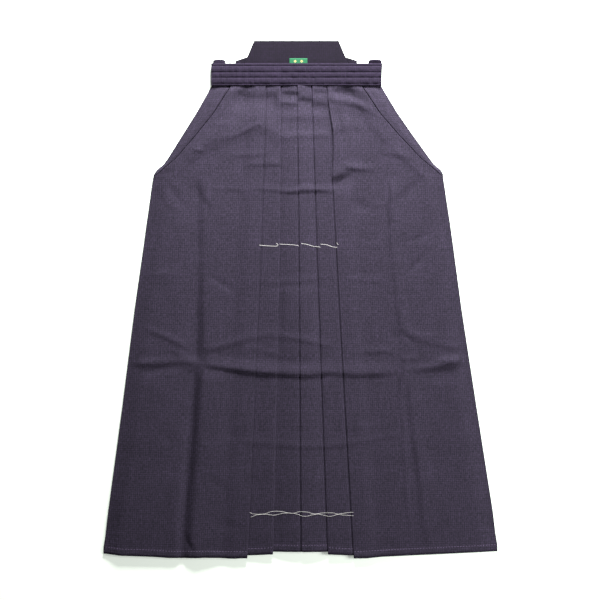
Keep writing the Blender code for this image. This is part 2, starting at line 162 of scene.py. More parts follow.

# %% [markdown]
# ## Creases
# Cloth that has lain folded in a drawer keeps pressed lines, and cloth that was just laid down keeps soft
# buckles near the waist. A physical simulation would place its own creases, so these are listed one by one:
# each is a path with a ridge or a trough along it, steeper on one side, that fades out at both ends. One
# field of heights moves all the layers of the front together, so that they never cut through each other.

# %% Table of creases
# path: points of (x, below, rise) in millimetres; a rise below nothing is a trough, and it changes evenly
# from one point to the next. left and right: how far the slope reaches on each hand when walking along the
# path. sharp: 1 for a pressed line with a pointed bottom or top, 0 for a soft round one.
Crease = namedtuple("Crease", "left right path sharp", defaults=(0.4,))
CREASES = {
    # folded along its length for storing, left: the cloth steps down from the right to a sharp line
    "left length fold, upper": Crease(14, 40, [
        (-196, 176, 0), (-197, 200, -2.4), (-197, 290, -2.3), (-196, 350, -1.8), (-197, 400, -3.4),
        (-199, 470, -4.8), (-200, 520, -4.0), (-200, 534, 0)], 0.9),
    "left length fold, upper shoulder": Crease(50, 14, [
        (-184, 170, 0), (-183, 215, 1.0), (-183, 290, 0.6), (-182, 350, 0.4), (-180, 420, 1.4),
        (-181, 500, 1.8), (-184, 530, 0)], 0.0),
    "left length fold, lower": Crease(18, 50, [
        (-198, 534, 0), (-202, 556, -3.4), (-206, 600, -3.5), (-212, 680, -3.5), (-218, 760, -3.5),
        (-223, 830, -3.5), (-225, 860, -3.5), (-226, 930, -3.5)], 0.9),
    "left length fold, shoulder": Crease(80, 22, [
        (-180, 530, 0), (-183, 565, 4.2), (-187, 640, 4.0), (-192, 720, 3.6), (-198, 800, 3.4),
        (-203, 860, 3.6), (-204, 930, 3.8)], 0.0),
    "left length fold, pressed line": Crease(9, 14, [
        (-201, 550, 0), (-204, 600, -2.8), (-210, 680, -3.4), (-216, 760, -2.4), (-222, 830, -1.2),
        (-225, 860, 0)], 0.9),
    "left length fold, far ridge": Crease(8, 30, [
        (-222, 640, 0), (-230, 730, 1.0), (-238, 820, 1.8), (-240, 930, 1.8)], 0.0),
    "left hem tail": Crease(8, 8, [
        (-222, 852, 0), (-218, 874, -1.8), (-209, 890, -2.0), (-208, 925, -1.4)], 0.8),
    "left corner of the length fold": Crease(12, 18, [
        (-202, 192, 0), (-192, 214, -1.2), (-180, 234, -1.0), (-172, 262, 0)], 0.2),
    # the same fold on the right, which was opened out and pressed twice
    "right length fold, upper": Crease(22, 8, [
        (177, 180, 0), (175, 205, 4.0), (173, 240, 3.6), (173, 290, 2.0), (179, 340, 1.5),
        (185, 400, 1.6), (192, 450, 2.4), (197, 480, 0)], 0.5),
    "right length fold, branch": Crease(10, 9, [
        (206, 524, 0), (202, 545, 3.0), (196, 570, 3.0), (191, 600, 1.2), (190, 620, 0)], 0.4),
    "right length fold, inner": Crease(8, 5, [
        (192, 600, 0), (197, 640, 0.9), (199, 700, 1.1), (204, 800, 1.0), (214, 880, 0.6),
         (216, 925, 0)], 0.4),
    "right length fold, outer": Crease(34, 9, [
        (204, 530, 0), (209, 575, 1.8), (215, 642, 1.8), (221.5, 694, 2.4), (226.5, 728, 2.6),
        (232.5, 792, 1.8), (237, 840, 1.2), (252, 900, 0.6), (258, 930, 0)], 0.7),
    # folded once across
    "cross fold, side": Crease(14, 8, [
        (-380, 535, 2.9), (-300, 535, 2.9), (-262, 533, 2.2), (-240, 532, 1.2), (-215, 531, 1.4),
        (-199, 531, 0)], 0.4),
    "cross fold, side, light below": Crease(10, 14, [
        (-310, 554, 0), (-290, 550, -1.4), (-240, 541, -1.2), (-215, 534, 0)], 0.0),
    "cross fold, left": Crease(26, 6.5, [
        (-190, 536, 0), (-176, 538, 3.0), (-130, 545, 4.4), (-96, 550, 5.0), (-60, 553, 4.7),
        (-20, 555, 3.9), (15, 556, 3.9), (40, 554, 4.0), (60, 551, 2.6), (68, 550, 0)], 0.3),
    "cross fold, right": Crease(26, 7.5, [
        (60, 550, 0), (70, 553, 2.8), (108, 555, 3.5), (150, 554, 3.5), (172, 553, 1.8),
         (192, 551, 0)], 0.25),
    "cross fold, far right": Crease(12, 9, [
        (206, 549, 0), (224, 546, 2.4), (262, 541, 3.8), (290, 533, 3.0), (320, 527, 0)], 0.3),
    "cross fold, far right edge": Crease(10, 18, [(250, 533, 0), (276, 528, 4.8), (380, 521, 5.6)], 0.1),
    "arc above, left": Crease(14, 7, [
        (-188, 513, 0), (-174, 508, 1.6), (-134, 497, 1.8), (-98, 486, 1.5), (-62, 480, 1.0),
        (-28, 484, 1.2), (15, 492, 1.5), (50, 501, 1.2), (68, 509, 0)]),
    "arc above, second": Crease(9, 6, [(-120, 504, 0), (-88, 507, 0.7), (-40, 519, 0.8), (0, 528, 0)]),
    "arc above, right": Crease(12, 7, [(106, 518, 0), (125, 512, 1.6), (165, 511, 1.8), (186, 516, 0)]),
    "arc above, far right": Crease(16, 9, [
        (190, 476, 0), (197, 470, 1.0), (215, 482, 1.6), (250, 494, 1.3), (290, 502, 1.7),
        (380, 506, 1.7)]),
    "roll above, far right": Crease(10, 8, [
        (205, 474, 0), (240, 482, 1.0), (290, 485, 1.2), (380, 488, 1.0)]),
    "arc above, far left": Crease(12, 7, [
        (-310, 460, 0), (-285, 473, 1.2), (-252, 486, 1.7), (-226, 500, 1.2), (-212, 508, 0)]),
    "arc above, far left, second": Crease(7, 6, [(-252, 504, 0), (-240, 512, 0.8), (-212, 528, 0)]),
    "fan by the right fold": Crease(7, 7, [
        (196, 470, 0), (204, 482, -1.2), (214, 494, -1.0), (222, 504, 0)]),
    "hollow by the right fold": Crease(14, 14, [(168, 478, 0), (184, 484, -1.2), (198, 492, 0)], 0.0),
    "short line by the right fold": Crease(8, 6, [
        (192, 525, 0), (200, 526, 2.0), (218, 525, 1.8), (232, 527, 0)]),
    "faint cross, far right": Crease(10, 10, [(232, 578, 0), (260, 576, 1.0), (300, 574, 0)], 0.2),
    # lower half
    "lower cross": Crease(12, 8, [
        (-150, 682, 0), (-91, 687, 0.9), (6, 694, 1.1), (40, 694, 1.4), (75, 691, 1.3), (94, 689, 1.0),
        (140, 681, 1.0), (184, 672, 0.7), (200, 668, 0)]),
    "lower cross, thin": Crease(7, 4, [(70, 664, 0), (94, 660, 0.6), (167, 653, 0.6), (184, 650, 0)]),
    "soft hollow, lower left": Crease(22, 22, [(-262, 660, 0), (-252, 680, -1.2), (-240, 700, 0)], 0.0),
    "soft hollow, lower middle": Crease(22, 18, [(-150, 650, 0), (-130, 672, -0.9), (-105, 690, 0)], 0.0),
    "soft slant, lower left": Crease(14, 14, [(-176, 748, 0), (-160, 768, -0.9), (-134, 786, 0)], 0.0),
    "short folds by the left fold": Crease(5, 5, [(-192, 684, 0), (-184, 692, 1.2), (-174, 700, 0)], 0.4),
    # upper half
    "sharp fold": Crease(12, 5, [
        (-84, 199, 0), (-66, 200, 1.1), (-40, 203, 1.6), (-15, 205, 2.2), (5, 202, 3.0), (30, 201, 3.1),
        (48, 202, 2.2), (66, 204, 0)], 0.45),
    "sharp fold, beside": Crease(8, 4, [(-24, 206, 0), (-8, 200, 0.9), (14, 196, 0.8), (24, 196, 0)]),
    "short fold, left": Crease(18, 5, [
        (-112, 155, 0), (-92, 154, 1.0), (-66, 151, 1.6), (-46, 152, 1.5), (-30, 150, 0)], 0.45),
    "short fold above, left": Crease(10, 8, [
        (-140, 136, 0), (-116, 134, 1.1), (-80, 132, 1.2), (-58, 131, 0)]),
    "short fold, right": Crease(15, 7, [
        (80, 154, 0), (90, 157, 2.7), (110, 160, 3.0), (130, 161, 1.8), (152, 163, 0)], 0.4),
    "arch": Crease(46, 24, [
        (-226, 142, 0), (-206, 126, 1.9), (-186, 112, 2.4), (-150, 97, 2.6), (-112, 84, 2.9),
        (-84, 74, 2.9), (-58, 82, 2.7), (-34, 100, 1.6), (-14, 116, 0)], 0.45),
    "arch, pressed edge": Crease(7, 6, [
        (-160, 104, 0), (-130, 98, 1.1), (-102, 85, 1.5), (-82, 75, 1.1), (-70, 72, 0)], 0.4),
    "beside the arch": Crease(9, 6, [(-192, 79, 0), (-176, 74, 1.3), (-150, 75, 0.7), (-110, 78, 0)]),
    "beside the arch, at the edge": Crease(7, 6, [(-216, 120, 0), (-200, 124, 1.9), (-182, 126, 0)]),
    "under the band, first": Crease(7, 16, [
        (-42, 16, 0), (-32, 17, -3.0), (-8, 18, -3.4), (0, 20, 0)], 0.3),
    "under the band, second": Crease(9, 20, [
        (-8, 28, 0), (-2, 30, -3.2), (18, 32, -3.2), (26, 36, 0)], 0.2),
    "under the band, third": Crease(12, 18, [
        (18, 40, 0), (26, 41, -2.6), (46, 43, -2.6), (56, 45, 0)], 0.2),
    "under the band, third, above": Crease(7, 12, [
        (22, 13, 0), (32, 14, -2.0), (46, 14, -1.8), (56, 16, 0)], 0.2),
    "under the band, dip": Crease(7, 5, [(-42, 32, 0), (-32, 33, 1.2), (-10, 34, 1.2), (-4, 33, 0)], 0.2),
    "under the band, right": Crease(12, 11, [
        (50, 23, 0), (60, 25, 1.8), (80, 27, 2.4), (105, 33, 2.6), (128, 42, 3.0), (150, 51, 2.4),
        (168, 62, 0)], 0.2),
    "under the band, right, hollow": Crease(12, 22, [
        (58, 12, 0), (70, 13, -4.0), (112, 15, -5.0), (130, 22, -4.6), (150, 30, 0)], 0.2),
    "broad hollow below the band": Crease(46, 60, [
        (-74, 58, 0), (-50, 58, -2.4), (110, 58, -2.4), (152, 62, 0)], 0.0),
    "under the band, left, hollow": Crease(17, 34, [
        (-150, 16, 0), (-124, 21, -5.0), (-100, 26, -3.2), (-84, 27, -2.8), (-52, 26, -3.6),
         (-40, 26, 0)], 0.1),
    "second roll": Crease(16, 14, [
        (-48, 60, 0), (-34, 60, 1.5), (0, 60, 1.6), (30, 60, 1.2), (58, 58, 0)], 0.1),
    "third roll": Crease(10, 12, [
        (-46, 98, 0), (-34, 98, 1.1), (10, 96, 1.5), (40, 94, 1.7), (66, 95, 0)], 0.1),
    "slope right of the open pleat": Crease(20, 13, [
        (66, 66, 0), (84, 72, 1.0), (104, 77, 1.3), (130, 88, 0)], 0.1),
    "hollow right of the open pleat": Crease(15, 22, [
        (70, 82, 0), (78, 94, -2.4), (74, 112, -1.8), (70, 136, 0)], 0.2),
    "pocket by the open pleat": Crease(15, 22, [
        (60, 196, 0), (66, 191, -3.2), (77, 184, -4.0), (92, 176, -2.4), (108, 169, 0)], 0.3),
    "roll above the pocket": Crease(22, 11, [
        (58, 176, 0), (66, 174, 2.2), (80, 168, 2.2), (96, 162, 0)], 0.2),
    "right faint": Crease(14, 9, [(146, 122, 0), (165, 128, 1.2), (195, 134, 1.5), (222, 138, 1.0)]),
    "corner slant, right": Crease(13, 17, [
        (180, 232, 0), (196, 214, -1.6), (215, 196, -2.0), (236, 176, 0)], 0.2),
    "patch, upper right": Crease(18, 18, [(92, 226, 0), (116, 232, -1.8), (146, 240, 0)], 0.0),
    "cross, upper right": Crease(8, 8, [(95, 232, 0), (150, 229, 0.6), (188, 224, 0)]),
    "streak, upper right": Crease(7, 7, [(178, 250, 0), (170, 268, -1.2), (160, 290, 0)], 0.3),
    "fan, right, upper": Crease(8, 8, [(200, 304, 0), (222, 295, -2.0), (256, 282, 0)]),
    "fan, right, lower": Crease(8, 9, [(206, 364, 0), (222, 344, -2.6), (250, 310, 0)]),
    "cross by the thread": Crease(8, 6, [(100, 306, 0), (130, 308, 0.6), (190, 311, 0)]),
    "cross below the thread": Crease(12, 8, [
        (80, 374, 0), (100, 373, 1.0), (140, 375, 1.0), (176, 374, 0)]),
    "mark by the right fold": Crease(6, 6, [(192, 402, 0), (198, 412, 1.5), (204, 426, 0)]),
    "cross below the thread, middle": Crease(10, 8, [
        (-110, 378, 0), (-80, 376, 0.6), (-36, 378, 0.9), (-6, 376, 0.8), (40, 370, 0.8), (72, 366, 0)]),
    "cross below the thread, left": Crease(9, 8, [
        (-310, 366, 0), (-280, 364, 1.0), (-250, 362, 1.0), (-222, 362, 0)]),
    "slant below the thread": Crease(12, 10, [
        (-184, 364, 0), (-160, 376, -1.3), (-140, 388, -1.2), (-120, 400, 0)]),
    "corner slant, left": Crease(13, 13, [
        (-262, 180, 0), (-250, 198, -1.0), (-232, 224, -1.0), (-208, 246, 0)], 0.2),
    "corner slant, left, second": Crease(10, 10, [
        (-284, 196, 0), (-268, 226, -0.7), (-250, 250, 0)], 0.2),
    "faint cross, upper left": Crease(8, 7, [
        (-188, 196, 0), (-150, 198, 0.6), (-110, 201, 0.5), (-84, 202, 0)]),
    "slant, lower left": Crease(14, 14, [(-180, 838, 0), (-130, 850, -0.8), (-80, 862, 0)], 0.0),
}
MILLIMETRE = 0.001


# %% One crease as a field of heights
POINTED = 1.4             # the flanks of a pressed line are hollow, which makes its bottom or top pointed


def crease_height(crease, x, below):
    """Height of one crease over arrays of places, in metres."""
    path = np.array([point[:2] for point in crease.path]) * MILLIMETRE
    rises = np.array([point[2] for point in crease.path]) * MILLIMETRE
    height = np.zeros(x.shape)
    far = max(crease.left, crease.right) * MILLIMETRE
    near = ((x > path[:, 0].min() - far) & (x < path[:, 0].max() + far)
            & (below > path[:, 1].min() - far) & (below < path[:, 1].max() + far))
    if not near.any():
        return height
    x, below = x[near], below[near]
    nearest, signed, rise = np.full(x.shape, 1e9), np.zeros(x.shape), np.zeros(x.shape)
    for (x0, b0), (x1, b1), rise0, rise1 in zip(path[:-1], path[1:], rises[:-1], rises[1:]):
        size = math.hypot(x1 - x0, b1 - b0)
        share = np.clip(((x - x0) * (x1 - x0) + (below - b0) * (b1 - b0)) / size ** 2, 0.0, 1.0)
        off_x, off_b = x - (x0 + share * (x1 - x0)), below - (b0 + share * (b1 - b0))
        gap = np.hypot(off_x, off_b)
        closer = gap < nearest
        hand = np.where((x1 - x0) * off_b - (b1 - b0) * off_x >= 0.0, 1.0, -1.0)
        nearest = np.where(closer, gap, nearest)
        signed = np.where(closer, gap * hand, signed)
        rise = np.where(closer, rise0 + share * (rise1 - rise0), rise)
    reach = np.where(signed < 0.0, crease.left, crease.right) * MILLIMETRE
    slope = np.clip(1.0 - nearest / reach, 0.0, 1.0)
    height[near] = rise * ((1.0 - crease.sharp) * ease(slope) + crease.sharp * slope ** POINTED)
    return height


print(len(CREASES), "creases")

# %% [markdown]
# ## Lift and unevenness
# Between its pressed lines the cloth stands a few millimetres off the layers below it, and it is never
# quite even. A few hundred soft bumps of different sizes, drawn once from a fixed seed, give that.

# %% Height of the front over the layers below it
BUMP_COUNT, BUMP_RISE, BUMP_REACH = 420, 0.00042, 3.0
FRONT_LIFT, HEM_LIFT = 0.0040, 0.0026
HEM_LIFT_FROM, HEM_LIFT_RUN = 0.78, 0.13
LEFT_HEM_LIFT = 0.0026
LEFT_HEM_FROM, LEFT_HEM_RUN, LEFT_HEM_INNER, LEFT_HEM_SPREAD = 0.70, 0.20, 0.12, 0.10
BAND_START, BAND_RISE_RUN = 0.0010, 0.130      # held down at the band's seam, and how soon it is free
BAND_GRIP, BAND_GRIP_RUN = 0.0045, 0.005       # inside the band it is flat
SINK, SINK_START, SINK_RUN, SINK_END = 0.0030, 0.001, 0.007, 0.110
REST_SOFTNESS = 0.0004
EDGE_RUN = 0.036                               # width of the strip that keeps the edge's own lift
EDGE_START, EDGE_START_RUN = 0.001, 0.011
EDGE_LIFT = {-1: [Row(-0.012, 0.0), Row(0.010, 0.0032), Row(0.100, 0.0036), Row(0.158, 0.0044),
                  Row(0.182, 0.0)],
             1: [Row(-0.012, 0.0), Row(0.010, 0.0020), Row(0.150, 0.0024), Row(0.182, 0.0)]}
draw = np.random.default_rng(24)
bumps = np.column_stack([draw.uniform(-0.39, 0.39, BUMP_COUNT), draw.uniform(0.0, FRONT_LENGTH, BUMP_COUNT),
                         draw.uniform(0.010, 0.042, BUMP_COUNT), draw.uniform(0.5, 1.6, BUMP_COUNT),
                         draw.uniform(-BUMP_RISE, BUMP_RISE, BUMP_COUNT)])


def front_lift(x, below):
    """How far the front stands off what is below it. Near the waist, where there is room, it can sink."""
    across = x - read(CENTRE_LINE, below)
    edge = read(FRONT_SIDE, below) - np.abs(across)
    lift = FRONT_LIFT + (HEM_LIFT - FRONT_LIFT) * ease((below - HEM_LIFT_FROM) / HEM_LIFT_RUN)
    lift = lift + (LEFT_HEM_LIFT * ease((below - LEFT_HEM_FROM) / LEFT_HEM_RUN)
                   * ease(-(across + LEFT_HEM_INNER) / LEFT_HEM_SPREAD))
    for bump_x, bump_below, radius, stretch, rise in bumps:
        away = ((x - bump_x) / radius) ** 2 + ((below - bump_below) / (radius * stretch)) ** 2
        near = away < BUMP_REACH ** 2
        lift = lift + np.where(near, rise * np.exp(-np.where(near, away, BUMP_REACH ** 2)), 0.0)
    lift = BAND_START + (lift - BAND_START) * ease(below / BAND_RISE_RUN)
    for crease in CREASES.values():
        lift = lift + crease_height(crease, x, below)
    room = SINK * ease((below - SINK_START) / SINK_RUN) * ease(1.0 - below / SINK_END)
    lift = 0.5 * (lift - room + np.sqrt((lift + room) ** 2 + REST_SOFTNESS ** 2))
    lift = lift * ease((below + BAND_GRIP) / BAND_GRIP_RUN)
    edge_share = ease(edge / EDGE_RUN)
    side_lift = np.where(across < 0.0, read(EDGE_LIFT[-1], below), read(EDGE_LIFT[1], below))
    return lift * edge_share + side_lift * (1.0 - edge_share) * ease((below + EDGE_START) / EDGE_START_RUN)


def front_base(side, across, below):
    """Underside of the lowest layer of the front, over the back, the gusset and the leaf fold."""
    drop = ease(1.0 - below / WAIST_RUN)
    height = LEVEL + WAIST_LIFT * drop
    inner_end = GUSSET_SHARE * read(INNER_PLEAT, below)
    inner_start = inseam(below) + GUSSET_MARGIN
    inner = ease((inner_end - across) / (inner_end - inner_start))
    height = height + LEVEL * (1.0 + read(GUSSET_RISE, below)) * inner * (1.0 - drop)
    _, leaf_full, leaf_start = leaf_lines(below)
    leaf = ease((across - leaf_start) / (leaf_full - leaf_start))
    return height + LEVEL * leaf * read(LEAF_RISE, below)


print("half way down, the left front lies", round(float(front_base(-1, 0.2, FRONT_LENGTH / 2)), 4), "m up")


# %% [markdown]
# ## A sheet of cloth
# Every sheet is a grid of points that follows the cloth's own threads: its rows run down the piece and
# its columns across it. Solidify gives the grid its thickness, and a UV map in metres holds each point's
# place on the flat cloth, so the weave stays the same size wherever the cloth is folded.

# %% Make a sheet from a grid of points
LAYER = "weave"


def sheet(name, places, flat, wall, finish):
    """A closed piece of cloth through a grid of points; flat holds each point's place on the flat cloth."""
    rows, columns = places.shape[:2]
    number = np.arange(rows * columns).reshape(rows, columns)
    quads = np.stack([number[:-1, :-1], number[1:, :-1], number[1:, 1:], number[:-1, 1:]], -1).reshape(-1, 4)
    mesh = bpy.data.meshes.new(name)
    mesh.from_pydata(places.reshape(-1, 3).tolist(), [], quads.tolist())
    mesh.uv_layers.new(name=LAYER).data.foreach_set("uv", flat.reshape(-1, 2)[quads.ravel()].ravel())
    mesh.shade_smooth()
    made = bpy.data.objects.new(name, mesh)
    bpy.context.scene.collection.objects.link(made)
    thick = made.modifiers.new("wall", "SOLIDIFY")
    thick.thickness, thick.offset, thick.use_even_offset = wall, 0.0, True
    mesh.materials.append(finish)
    return made


def flat_area(flat):
    """Area of the flat cloth under a grid, from its places on the flat cloth."""
    one = flat[1:, 1:] - flat[:-1, :-1]
    two = flat[1:, :-1] - flat[:-1, 1:]
    return float(np.abs(one[..., 0] * two[..., 1] - one[..., 1] * two[..., 0]).sum() / 2)


# %% [markdown]
# ## Cloth, stitched cloth, satin and thread
# The cloth is a matt plain weave of cotton and polyester in a dark purple navy, with slubs in both
# directions. Three things make it look woven and not painted: thin uneven threads in the colour, the
# same threads as relief, and a faint bloom of fibres at grazing angles.

# %% Colours and a helper for nodes
def colour(code):
    """Linear colour from an sRGB hex code."""
    parts = [int(code[i:i + 2], 16) / 255 for i in (1, 3, 5)]
    return (*[v / 12.92 if v <= 0.04045 else ((v + 0.055) / 1.055) ** 2.4 for v in parts], 1.0)


def add(tree, kind, settings=None, links=None):
    """Adds a node: settings are its properties or its sockets' values, links say what feeds a socket."""
    made = tree.nodes.new(kind)
    for key, value in (settings or {}).items():
        if isinstance(key, str) and hasattr(made, key):
            setattr(made, key, value)
        else:
            made.inputs[key].default_value = value
    for key, source in (links or {}).items():
        tree.links.new(source, made.inputs[key])
    return made


def new_material(name, roughness, sheen=0.0, specular=0.15):
    made = bpy.data.materials.new(name)
    made.use_nodes = True
    shader = made.node_tree.nodes["Principled BSDF"]
    shader.inputs["Roughness"].default_value = roughness
    shader.inputs["Specular IOR Level"].default_value = specular
    shader.inputs["Sheen Weight"].default_value = sheen
    shader.inputs["Sheen Roughness"].default_value = 0.5
    return made, made.node_tree, shader


# %% The woven cloth
THREAD = 0.0011           # real threads lie 0.5 mm apart, drawn at 1.1 mm so that they can be seen
WAVE_BANDS = 3.1831       # bands that the wave texture draws in a metre when its scale is 1
# slubs: size across, size down, and share of the colour; ribs: direction, pitch, and share of the colour
SLUBS = [(0.0013, 0.0060, 0.42), (0.0060, 0.0013, 0.32), (0.0014, 0.045, 0.20), (0.045, 0.0014, 0.16)]
RIBS = [("X", 0.0037, 0.09), ("Y", 0.0041, 0.07)]
CLOUDS = 22.0             # in a metre: patches a little lighter or darker, about 45 mm across


def woven_cloth(name, dark, mid, light, relief=0.00022, sheen=0.05):
    """Plain weave: threads cross over and under in a chequer, with uneven slubs both ways and flecks."""
    made, tree, shader = new_material(name, 0.88, sheen)
    shader.inputs["Sheen Tint"].default_value = colour("#8F86B0")
    on_cloth = add(tree, "ShaderNodeUVMap", {"uv_map": LAYER}).outputs["UV"]
    uneven = add(tree, "ShaderNodeValue").outputs["Value"]
    for direction, pitch, share in RIBS:
        rib = add(tree, "ShaderNodeTexWave", {"bands_direction": direction, "Scale": 1 / pitch / WAVE_BANDS,
                                              "Distortion": 0.6, "Detail Scale": 0.2}, {"Vector": on_cloth})
        uneven = add(tree, "ShaderNodeMath", {"operation": "MULTIPLY_ADD", 1: share},
                     {0: rib.outputs["Fac"], 2: uneven}).outputs["Value"]
    for across, down, share in SLUBS:
        scaled = add(tree, "ShaderNodeMapping", {"Scale": (1 / across, 1 / down, 1.0)}, {"Vector": on_cloth})
        streak = add(tree, "ShaderNodeTexNoise", {"Scale": 1.0, "Detail": 1.0, "Roughness": 0.5},
                     {"Vector": scaled.outputs["Vector"]})
        uneven = add(tree, "ShaderNodeMath", {"operation": "MULTIPLY_ADD", 1: share},
                     {0: streak.outputs["Fac"], 2: uneven}).outputs["Value"]
    threads = []
    for direction in ("X", "Y"):
        threads.append(add(tree, "ShaderNodeTexWave",
                           {"bands_direction": direction, "Scale": 1 / THREAD / WAVE_BANDS},
                           {"Vector": on_cloth}).outputs["Fac"])
    turn = add(tree, "ShaderNodeTexChecker", {"Scale": 1 / THREAD, "Color1": (1, 1, 1, 1),
                                              "Color2": (0, 0, 0, 1)}, {"Vector": on_cloth})
    weave = add(tree, "ShaderNodeMix", {}, {"Factor": turn.outputs["Fac"], "A": threads[0], "B": threads[1]})
    cloudy = add(tree, "ShaderNodeTexNoise", {"Scale": CLOUDS, "Detail": 3.0, "Roughness": 0.6},
                 {"Vector": on_cloth})
    tone = add(tree, "ShaderNodeMapRange", {"From Min": 0.42, "From Max": 0.80}, {"Value": uneven})
    ramp = add(tree, "ShaderNodeValToRGB", {}, {"Fac": tone.outputs["Result"]})
    ramp.color_ramp.elements[0].color = colour(dark)
    ramp.color_ramp.elements[1].color = colour(light)
    middle = ramp.color_ramp.elements.new(0.5)
    middle.color = colour(mid)
    shade = add(tree, "ShaderNodeMapRange",
                {"From Min": 0.3, "From Max": 0.7, "To Min": 0.92, "To Max": 1.07},
                {"Value": cloudy.outputs["Fac"]})
    crossings = add(tree, "ShaderNodeMapRange", {"To Min": 0.80, "To Max": 1.10},
                    {"Value": weave.outputs["Result"]})
    both = add(tree, "ShaderNodeMath", {"operation": "MULTIPLY"},
               {0: shade.outputs["Result"], 1: crossings.outputs["Result"]})
    final = add(tree, "ShaderNodeVectorMath", {"operation": "SCALE"},
                {0: ramp.outputs["Color"], "Scale": both.outputs["Value"]})
    tree.links.new(final.outputs["Vector"], shader.inputs["Base Color"])
    height = add(tree, "ShaderNodeMath", {"operation": "MULTIPLY_ADD", 1: 1.2},
                 {0: uneven, 2: weave.outputs["Result"]})
    bump = add(tree, "ShaderNodeBump", {"Strength": 0.55, "Distance": relief},
               {"Height": height.outputs["Value"]})
    tree.links.new(bump.outputs["Normal"], shader.inputs["Normal"])
    return made


CLOTH = woven_cloth("plain weave navy cloth", "#16161F", "#28232F", "#3B3346")
BAND_CLOTH = woven_cloth("plain weave band cloth", "#0E0A15", "#1A1422", "#291F33")
BOARD_CLOTH = woven_cloth("plain weave board cloth", "#08050D", "#0E0914", "#181020")


# %% Sewing and basting thread
TWISTS = 900.0            # in a metre: the plies come round every 1.1 mm


def thread_finish(name, code, roughness, sheen):
    """Twisted thread: fine bands of light and dark across it, a little fuzzy."""
    made, tree, shader = new_material(name, roughness, sheen, 0.3)
    where = add(tree, "ShaderNodeTexCoord").outputs["Object"]
    twist = add(tree, "ShaderNodeTexNoise", {"Scale": TWISTS, "Detail": 1.0}, {"Vector": where})
    shade = add(tree, "ShaderNodeMapRange", {"To Min": 0.82, "To Max": 1.12}, {"Value": twist.outputs["Fac"]})
    tinted = add(tree, "ShaderNodeVectorMath", {"operation": "SCALE", 0: colour(code)[:3]},
                 {"Scale": shade.outputs["Result"]})
    tree.links.new(tinted.outputs["Vector"], shader.inputs["Base Color"])
    bump = add(tree, "ShaderNodeBump", {"Strength": 0.4, "Distance": 0.0001},
               {"Height": twist.outputs["Fac"]})
    tree.links.new(bump.outputs["Normal"], shader.inputs["Normal"])
    return made


SEAM_THREAD = thread_finish("navy sewing thread", "#4A4458", 0.6, 0.1)
HEM_THREAD = thread_finish("purple hem thread", "#5D4D6B", 0.7, 0.1)
BASTING_THREAD = thread_finish("white basting thread", "#D9D7D2", 0.8, 0.2)
print("finishes:", ", ".join(made.name for made in bpy.data.materials))


# %% [markdown]
# ## The two fronts
# Each front is one panel. From the side edge it runs to the outer pleat, turns under, comes back out to
# the inner pleat, turns under again, and ends at the middle, where the right leg's last fold lies on top
# of the left leg's. The path across is a list of stops, each with its layer; between stops the cloth
# eases from one layer to the next. Repeating the path for every row down the leg lofts the panel.

# %% The path across one front
# across and level place a stop, steps is the number of faces to the next one, hem is how far below the
# band the cloth ends there, and lift is its share of the open pleat's lift.
Stop = namedtuple("Stop", "across level steps hem lift", defaults=(0.0,))
FOLD_TURNS = [math.radians(a) for a in (30, 60, 90, 120, 150)]
SIDE_TURN, SIDE_FLAT = 0.010, 0.008      # the side edge is turned under, and flat for this much beside it
RAMP_RUN, RAMP_SHARE = 0.030, 0.45       # the cloth comes down over the outer pleat's hidden fold
STACK_MARGIN = 0.002
# beside each fold the cloth drops to the layer below and rises again, which makes the fold's dark line
GROOVE_START = {-1: 0.0007, 1: 0.0008}
GROOVE_END = {-1: 0.0046, 1: 0.0040}
GROOVE_LEVEL = {-1: [Row(0.0, 1.1), Row(0.300, 0.9), Row(0.560, 0.45)],
                1: [Row(0.0, 1.25), Row(0.560, 1.45)]}
OUTER_GROOVE_SHARE, INNER_GROOVE_SHARE, INNER_GROOVE_RISE = 0.5, 0.35, 0.8
LEFT_MIDDLE, LEFT_MIDDLE_LEVEL, LEFT_MIDDLE_END = 0.0025, 2.1, -0.0010
RIGHT_MIDDLE, RIGHT_UNDER, RIGHT_UNDER_END = 0.009, 0.0086, 0.0166


def turn_stops(edge, level, towards, hem, lift=0.0):
    """A pressed fold from one layer down to the next."""
    return [Stop(edge + towards * FOLD_RADIUS * math.sin(turn), level - 0.5 + 0.5 * math.cos(turn), 1,
                 hem, lift) for turn in FOLD_TURNS]


def knife_stops(fold, depth, hem, hem_under, lift=0.0):
    """A pleat from its visible fold to the hidden return fold."""
    edge, back = fold + FOLD_REACH, fold + depth
    return [*turn_stops(edge, 2.0, -1, hem, lift), Stop(edge, 1.0, 5, hem_under, lift),
            Stop(back, 1.0, 1, hem_under), *turn_stops(back, 1.0, 1, hem_under)]


def middle_stops(side, below):
    """From the inner pleat to the middle of the garment, where the right leg's fold covers the left's."""
    inner, crown = read(INNER_PLEAT, below), read(GROOVE_LEVEL[side], below)
    if side < 0:
        tuck = FOLD_REACH - LEFT_TUCK
        groove = min(GROOVE_END[side], INNER_GROOVE_SHARE * inner)
        return [Stop(inner - groove, INNER_GROOVE_RISE * crown, 8, HEM_MIDDLE),
                Stop(LEFT_MIDDLE, LEFT_MIDDLE_LEVEL, 5, HEM_MIDDLE),
                Stop(LEFT_MIDDLE_END, 1.0, 2, HEM_MIDDLE),
                Stop(tuck, 1.0, 1, HEM_MIDDLE), *turn_stops(tuck, 1.0, -1, HEM_MIDDLE),
                Stop(tuck, 0.0, 4, HEM_MIDDLE)]
    middle = CENTRE_EDGE + FOLD_REACH
    return [Stop(inner - GROOVE_END[side], crown, 10, HEM_MIDDLE), Stop(RIGHT_MIDDLE, 3.0, 4, HEM_MIDDLE),
            Stop(middle, 3.0, 1, HEM_MIDDLE), *turn_stops(middle, 3.0, -1, HEM_MIDDLE),
            Stop(middle, 2.0, 2, HEM_MIDDLE), Stop(RIGHT_UNDER, 2.0, 4, HEM_MIDDLE),
            Stop(RIGHT_UNDER_END, 0.0, 2, HEM_MIDDLE)]


